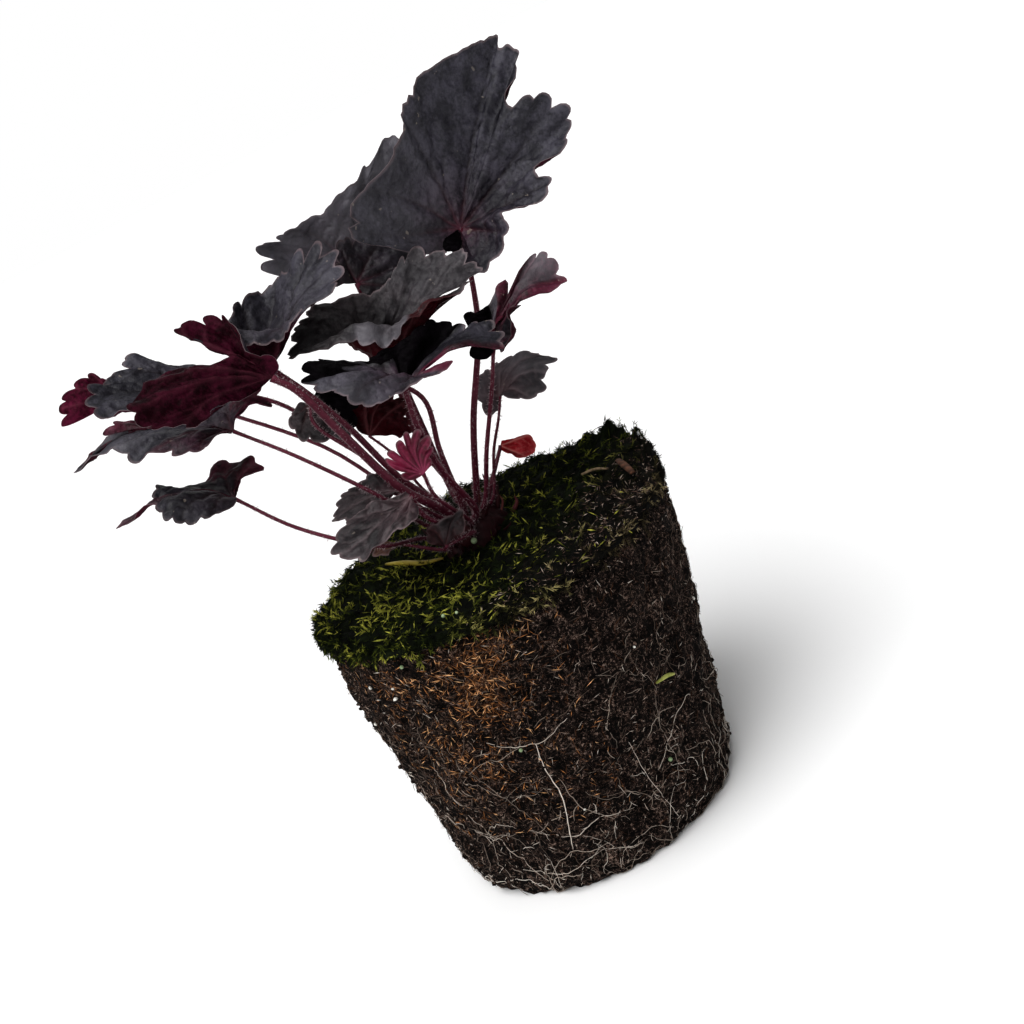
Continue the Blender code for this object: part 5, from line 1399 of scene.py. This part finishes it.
def rib_lines(leaf):
    """The ribs, and the side veins that branch off them: (across, along) places, and how strong each is."""
    last = len(leaf.veins) - 1
    ribs = [-BASAL_REACH, *(leaf.ribs or range(last + 1)), last + BASAL_REACH]
    share = np.linspace(0.03, 0.97, RIB_STEPS)
    rise = np.linspace(0, 1, BRANCH_STEPS)
    mains, sides = [], []
    for before, rib, after in zip(ribs, ribs[1:], ribs[2:]):
        mains.append(np.stack([np.full(RIB_STEPS, rib), share, 1.0 - 0.45 * share], 1))
        for number, start in enumerate(BRANCH_STARTS * 2):
            reach = (before - rib if number % 2 else after - rib) * 0.48
            begin = start + 0.05 * (number % 2)
            along = np.minimum(begin + BRANCH_RISE * rise**0.8, 0.985)
            sides.append(np.stack([rib + reach * rise, along, 1.0 - 0.7 * rise], 1))
    return np.concatenate(mains), np.concatenate(sides)


def distance_to(lines, middle, across, along):
    """For every point of the sheet, how far the nearest line is, and how strong it is there."""
    column = np.interp(lines[:, 0], across, np.arange(len(across)))
    row = np.interp(lines[:, 1], along, np.arange(len(along)))
    left = np.minimum(column.astype(int), len(across) - 2)
    below = np.minimum(row.astype(int), len(along) - 2)
    u, v = (column - left)[:, None], (row - below)[:, None]
    start = middle[left, below] * (1 - u) + middle[left + 1, below] * u
    end = middle[left, below + 1] * (1 - u) + middle[left + 1, below + 1] * u
    tree = kdtree.KDTree(len(lines))
    for number, point in enumerate(start * (1 - v) + end * v):
        tree.insert(point, number)
    tree.balance()
    found = [tree.find(point) for point in middle.reshape(-1, 3)]
    away = np.array([distance for _, _, distance in found]).reshape(middle.shape[:2])
    return away, lines[[number for _, number, _ in found], 2].reshape(middle.shape[:2])


def blade_mesh(leaf, seed):
    """Points, faces and marks of one blade, with its relief."""
    last = len(leaf.veins) - 1
    ends = np.array([vein[-1] for vein in leaf.veins], float)
    spacing = np.linalg.norm(np.diff(ends, axis=0), axis=1)
    round_edge = spacing.sum() * (last + 2 * BASAL_REACH) / last
    longest = np.linalg.norm(ends, axis=1).max() * 1.05
    columns = int(np.clip(round_edge / POINT_SPACING, *COLUMN_LIMITS))
    rows = int(np.clip(longest / POINT_SPACING, *ROW_LIMITS))
    across = np.linspace(-BASAL_REACH, last + BASAL_REACH, columns)
    along = np.linspace(0.004, 1.0, rows)
    middle = blade_grid(leaf, across, along)
    by_along = np.gradient(middle, axis=1)
    normal = unit(np.cross(np.gradient(middle, axis=0), by_along))
    main_lines, side_lines = rib_lines(leaf)
    to_rib, rib_strength = distance_to(main_lines, middle, across, along)
    to_side, side_strength = distance_to(side_lines, middle, across, along)
    run = np.cumsum(np.linalg.norm(by_along, axis=-1), axis=1)
    small = np.clip(longest / 26.0, 0.3, 1.0)
    vein = np.exp(-((to_rib / (RIB_WIDTH * small)) ** 2)) * rib_strength
    side_vein = np.exp(-((to_side / (SIDE_VEIN_WIDTH * small)) ** 2)) * side_strength
    side_vein = side_vein * np.clip(run / 7.0 - 0.3, 0, 1)
    to_any = np.minimum(to_rib, to_side + 2.0 * (1 - side_strength))
    edge = along[None] ** 3
    soft = np.clip(run / 6.0, 0, 1)
    groove = MAIN_GROOVE * np.exp(-to_rib / (1.5 * small)) * rib_strength
    quilt = QUILT * (1 - np.exp(-to_any / (1.7 * small))) - groove
    relief = small * (quilt * soft * (1 - 0.5 * edge) - SIDE_GROOVE * side_vein)
    pucker = PUCKERS[leaf.skin]
    crinkle = pucker * lumps(middle, 3.2, seed) + (0.15 + pucker) * lumps(middle, 9.0, seed + 2)
    relief = relief + soft * crinkle
    round_run = np.cumsum(np.linalg.norm(np.gradient(middle[:, -1], axis=0), axis=-1))
    relief = relief + edge * RIPPLE * np.sin(math.tau * round_run / RIPPLE_LENGTH + seed)[:, None] * soft
    rim = np.clip(1 - (run[:, -1:] - run) / RIM_WIDTH, 0, 1)
    half = BLADE_HALF_THICK * (1 - 0.5 * rim)
    ridge = 0.30 * vein * np.clip(1.1 - along[None], 0, 1) * soft
    upper = middle + normal * (relief + half)[..., None]
    under = middle + normal * (relief - half - ridge)[..., None]
    faces = grid_faces(columns, rows)
    count = columns * rows
    border = np.concatenate([
        np.arange(columns) * rows,
        (columns - 1) * rows + np.arange(1, rows),
        np.arange(columns - 2, -1, -1) * rows + rows - 1,
        np.arange(rows - 2, 0, -1),
    ])
    after = np.roll(border, -1)
    walls = np.stack([border, border + count, after + count, after], -1)
    marks = {
        "vein": np.maximum(vein, 0.65 * side_vein),
        "rim": rim,
        "near": np.exp(-run / 7.0),
        "blush": stain(leaf.blush, across, along),
        # near-black painted shade where the blade curls away into shadow
        "ink": stain(leaf.ink, across, along),
        # a painted satin grey highlight where the blade faces the light
        "bloom": stain(leaf.bloom, across, along, 3.0) * (0.75 + 0.5 * lumps(middle, 7.0, seed + 5)),
    }
    marks = {mark: np.stack([values, values]) for mark, values in marks.items()}
    all_faces = np.concatenate([faces, faces[:, ::-1] + count, walls])
    return np.stack([upper, under]), all_faces.tolist(), marks


def blade_colour(material, dark, light, vein_colour, rim_colour):
    """Clouds of the two colours and fine grain, with the veins and the rim drawn on."""
    fine = maths(material, "MULTIPLY", speckle(material, 900.0, 4.0), 0.5)
    clouds = maths(material, "ADD", speckle(material, 90.0, 3.0), fine)
    face = shade(material, clouds, ((0.66, dark), (0.87, light)))
    face = blend_colours(material, read_mark(material, "vein"), face, vein_colour)
    rim = maths(material, "MULTIPLY", read_mark(material, "rim"), 0.6)
    return blend_colours(material, rim, face, rim_colour)


def blade_finish(material):
    """The roughness and the bumps that every blade has."""
    cells = speckle(material, 1100.0, 3.0)
    inputs = {"Vector": place_coords(material), "Scale": 420.0}
    puckers = add_node(material, "TexVoronoi", inputs, feature="SMOOTH_F1").outputs["Distance"]
    rough = maths(material, "MULTIPLY_ADD", cells, 0.4, 0.32)
    return rough, ((puckers, 0.0014, 0.5), (cells, 0.0004, 0.6))


def blade_materials(name, dark, light, vein_top, wine_dark, wine_light, vein_under, under_depth=1.0):
    """The materials of the upper face with its stains and painted light, of the underside, and of the painted
    deepest shade.
    """
    upper = new_material(name + "_upper", Specular_IOR_Level=0.3)
    face = blade_colour(upper, dark, light, vein_top, PALE_RIM)
    wine = blade_colour(upper, wine_dark, wine_light, vein_under, vein_under)
    dry_specks = maths(upper, "GREATER_THAN", speckle(upper, 380.0, 1.5), 0.735)
    # Onto the upper face go a painted satin grey highlight, the burgundy near the junction, near-black
    # painted shade, the burgundy stain and dry specks.
    for share, colour in (
        (read_mark(upper, "bloom"), PAINTED_SHEEN_GREY),
        (maths(upper, "MULTIPLY", read_mark(upper, "near"), 0.7), wine),
        (maths(upper, "MULTIPLY", read_mark(upper, "ink"), 0.9), PAINTED_SHADE_BLACK),
        (read_mark(upper, "blush"), wine),
        (maths(upper, "MULTIPLY", dry_specks, 0.28), DRY_SPECK),
    ):
        face = blend_colours(upper, share, face, colour)
    finish_material(upper, face, *blade_finish(upper))
    under = new_material(name + "_under", Specular_IOR_Level=0.04)
    deep = [tuple(under_depth * part for part in colour) for colour in (wine_dark, wine_light, vein_under)]
    face = blade_colour(under, *deep, deep[2])
    lighter = blade_colour(under, wine_dark, tuple(1.3 * part for part in wine_light), vein_under, vein_under)
    face = blend_colours(under, read_mark(under, "blush"), face, lighter)
    finish_material(under, face, *blade_finish(under))
    # Near-black with almost no gloss: painted shade for upper faces that curl away into shadow.
    shadowed = new_material(name + "_shadowed", (*PAINTED_SHADE_BLACK, 1.0), Roughness=0.9, Specular_IOR_Level=0.02)
    face = shade(shadowed, speckle(shadowed, 300.0), ((0.4, PAINTED_SHADE_BLACK), (0.8, tuple(4 * part for part in PAINTED_SHADE_BLACK))))
    finish_material(shadowed, face, *blade_finish(shadowed))
    return upper, under, shadowed


# Each skin: the upper face's two colours and vein colour, then the underside's two colours and vein colour.
# On the dark and crinkled skins the upper vein colour is near-black: partly the veins' own colour, partly
# painted shade in the sunken veins.
SKINS = {
    "dark": blade_materials(
        "leaf_dark", (0.0125, 0.0115, 0.0175), (0.046, 0.043, 0.058), (0.0030, 0.0015, 0.0035),
        (0.018, 0.0006, 0.0040), (0.085, 0.0070, 0.026), (0.13, 0.028, 0.048), under_depth=0.55,
    ),
    "crinkled": blade_materials(
        "leaf_crinkled", (0.013, 0.010, 0.012), (0.056, 0.047, 0.051), (0.004, 0.002, 0.003),
        (0.012, 0.0004, 0.0012), (0.036, 0.0016, 0.0042), (0.10, 0.030, 0.034),
    ),
    "young": blade_materials(
        "leaf_young", (0.056, 0.0010, 0.009), (0.165, 0.0035, 0.032), (0.25, 0.028, 0.075),
        (0.060, 0.0010, 0.011), (0.17, 0.004, 0.038), (0.30, 0.045, 0.11),
    ),
    "old": blade_materials(
        "leaf_old", (0.28, 0.035, 0.038), (0.60, 0.15, 0.15), (0.55, 0.20, 0.19),
        (0.26, 0.008, 0.014), (0.50, 0.050, 0.060), (0.58, 0.20, 0.18),
    ),
    "fading": blade_materials(
        "leaf_fading", (0.030, 0.009, 0.006), (0.095, 0.040, 0.028), (0.16, 0.09, 0.06),
        (0.030, 0.009, 0.006), (0.095, 0.040, 0.028), (0.16, 0.09, 0.06),
    ),
    "grey": blade_materials(
        "leaf_grey", (0.010, 0.0082, 0.0095), (0.038, 0.031, 0.034), (0.115, 0.088, 0.093),
        (0.018, 0.0006, 0.0030), (0.065, 0.0030, 0.013), (0.17, 0.10, 0.11),
    ),
}
SLOTS = {"young": "young_leaf", "old": "old_leaf", "fading": "old_leaf"}

for number, (name, leaf) in enumerate(LEAVES.items()):
    points, faces, marks = blade_mesh(leaf, 1.0 + number)
    upper, under, shadowed = SKINS[leaf.skin]
    slot = SLOTS.get(leaf.skin, "leaf")
    sheet = make_piece(name + "_sheet", points, faces, upper, slot, [name + "_blade"], **marks)
    sheet.data.materials.append(under)
    sheet.data.materials.append(shadowed)
    half = len(sheet.data.vertices) // 2
    # Upper faces deep in the near-black painted shade take the near-black shadowed material.
    in_painted_shade = marks["ink"].reshape(-1) > SHADOWED_FROM
    which = [1 if face[0] >= half else 2 * int(in_painted_shade[list(face)].all()) for face in faces]
    sheet.data.polygons.foreach_set("material_index", which)
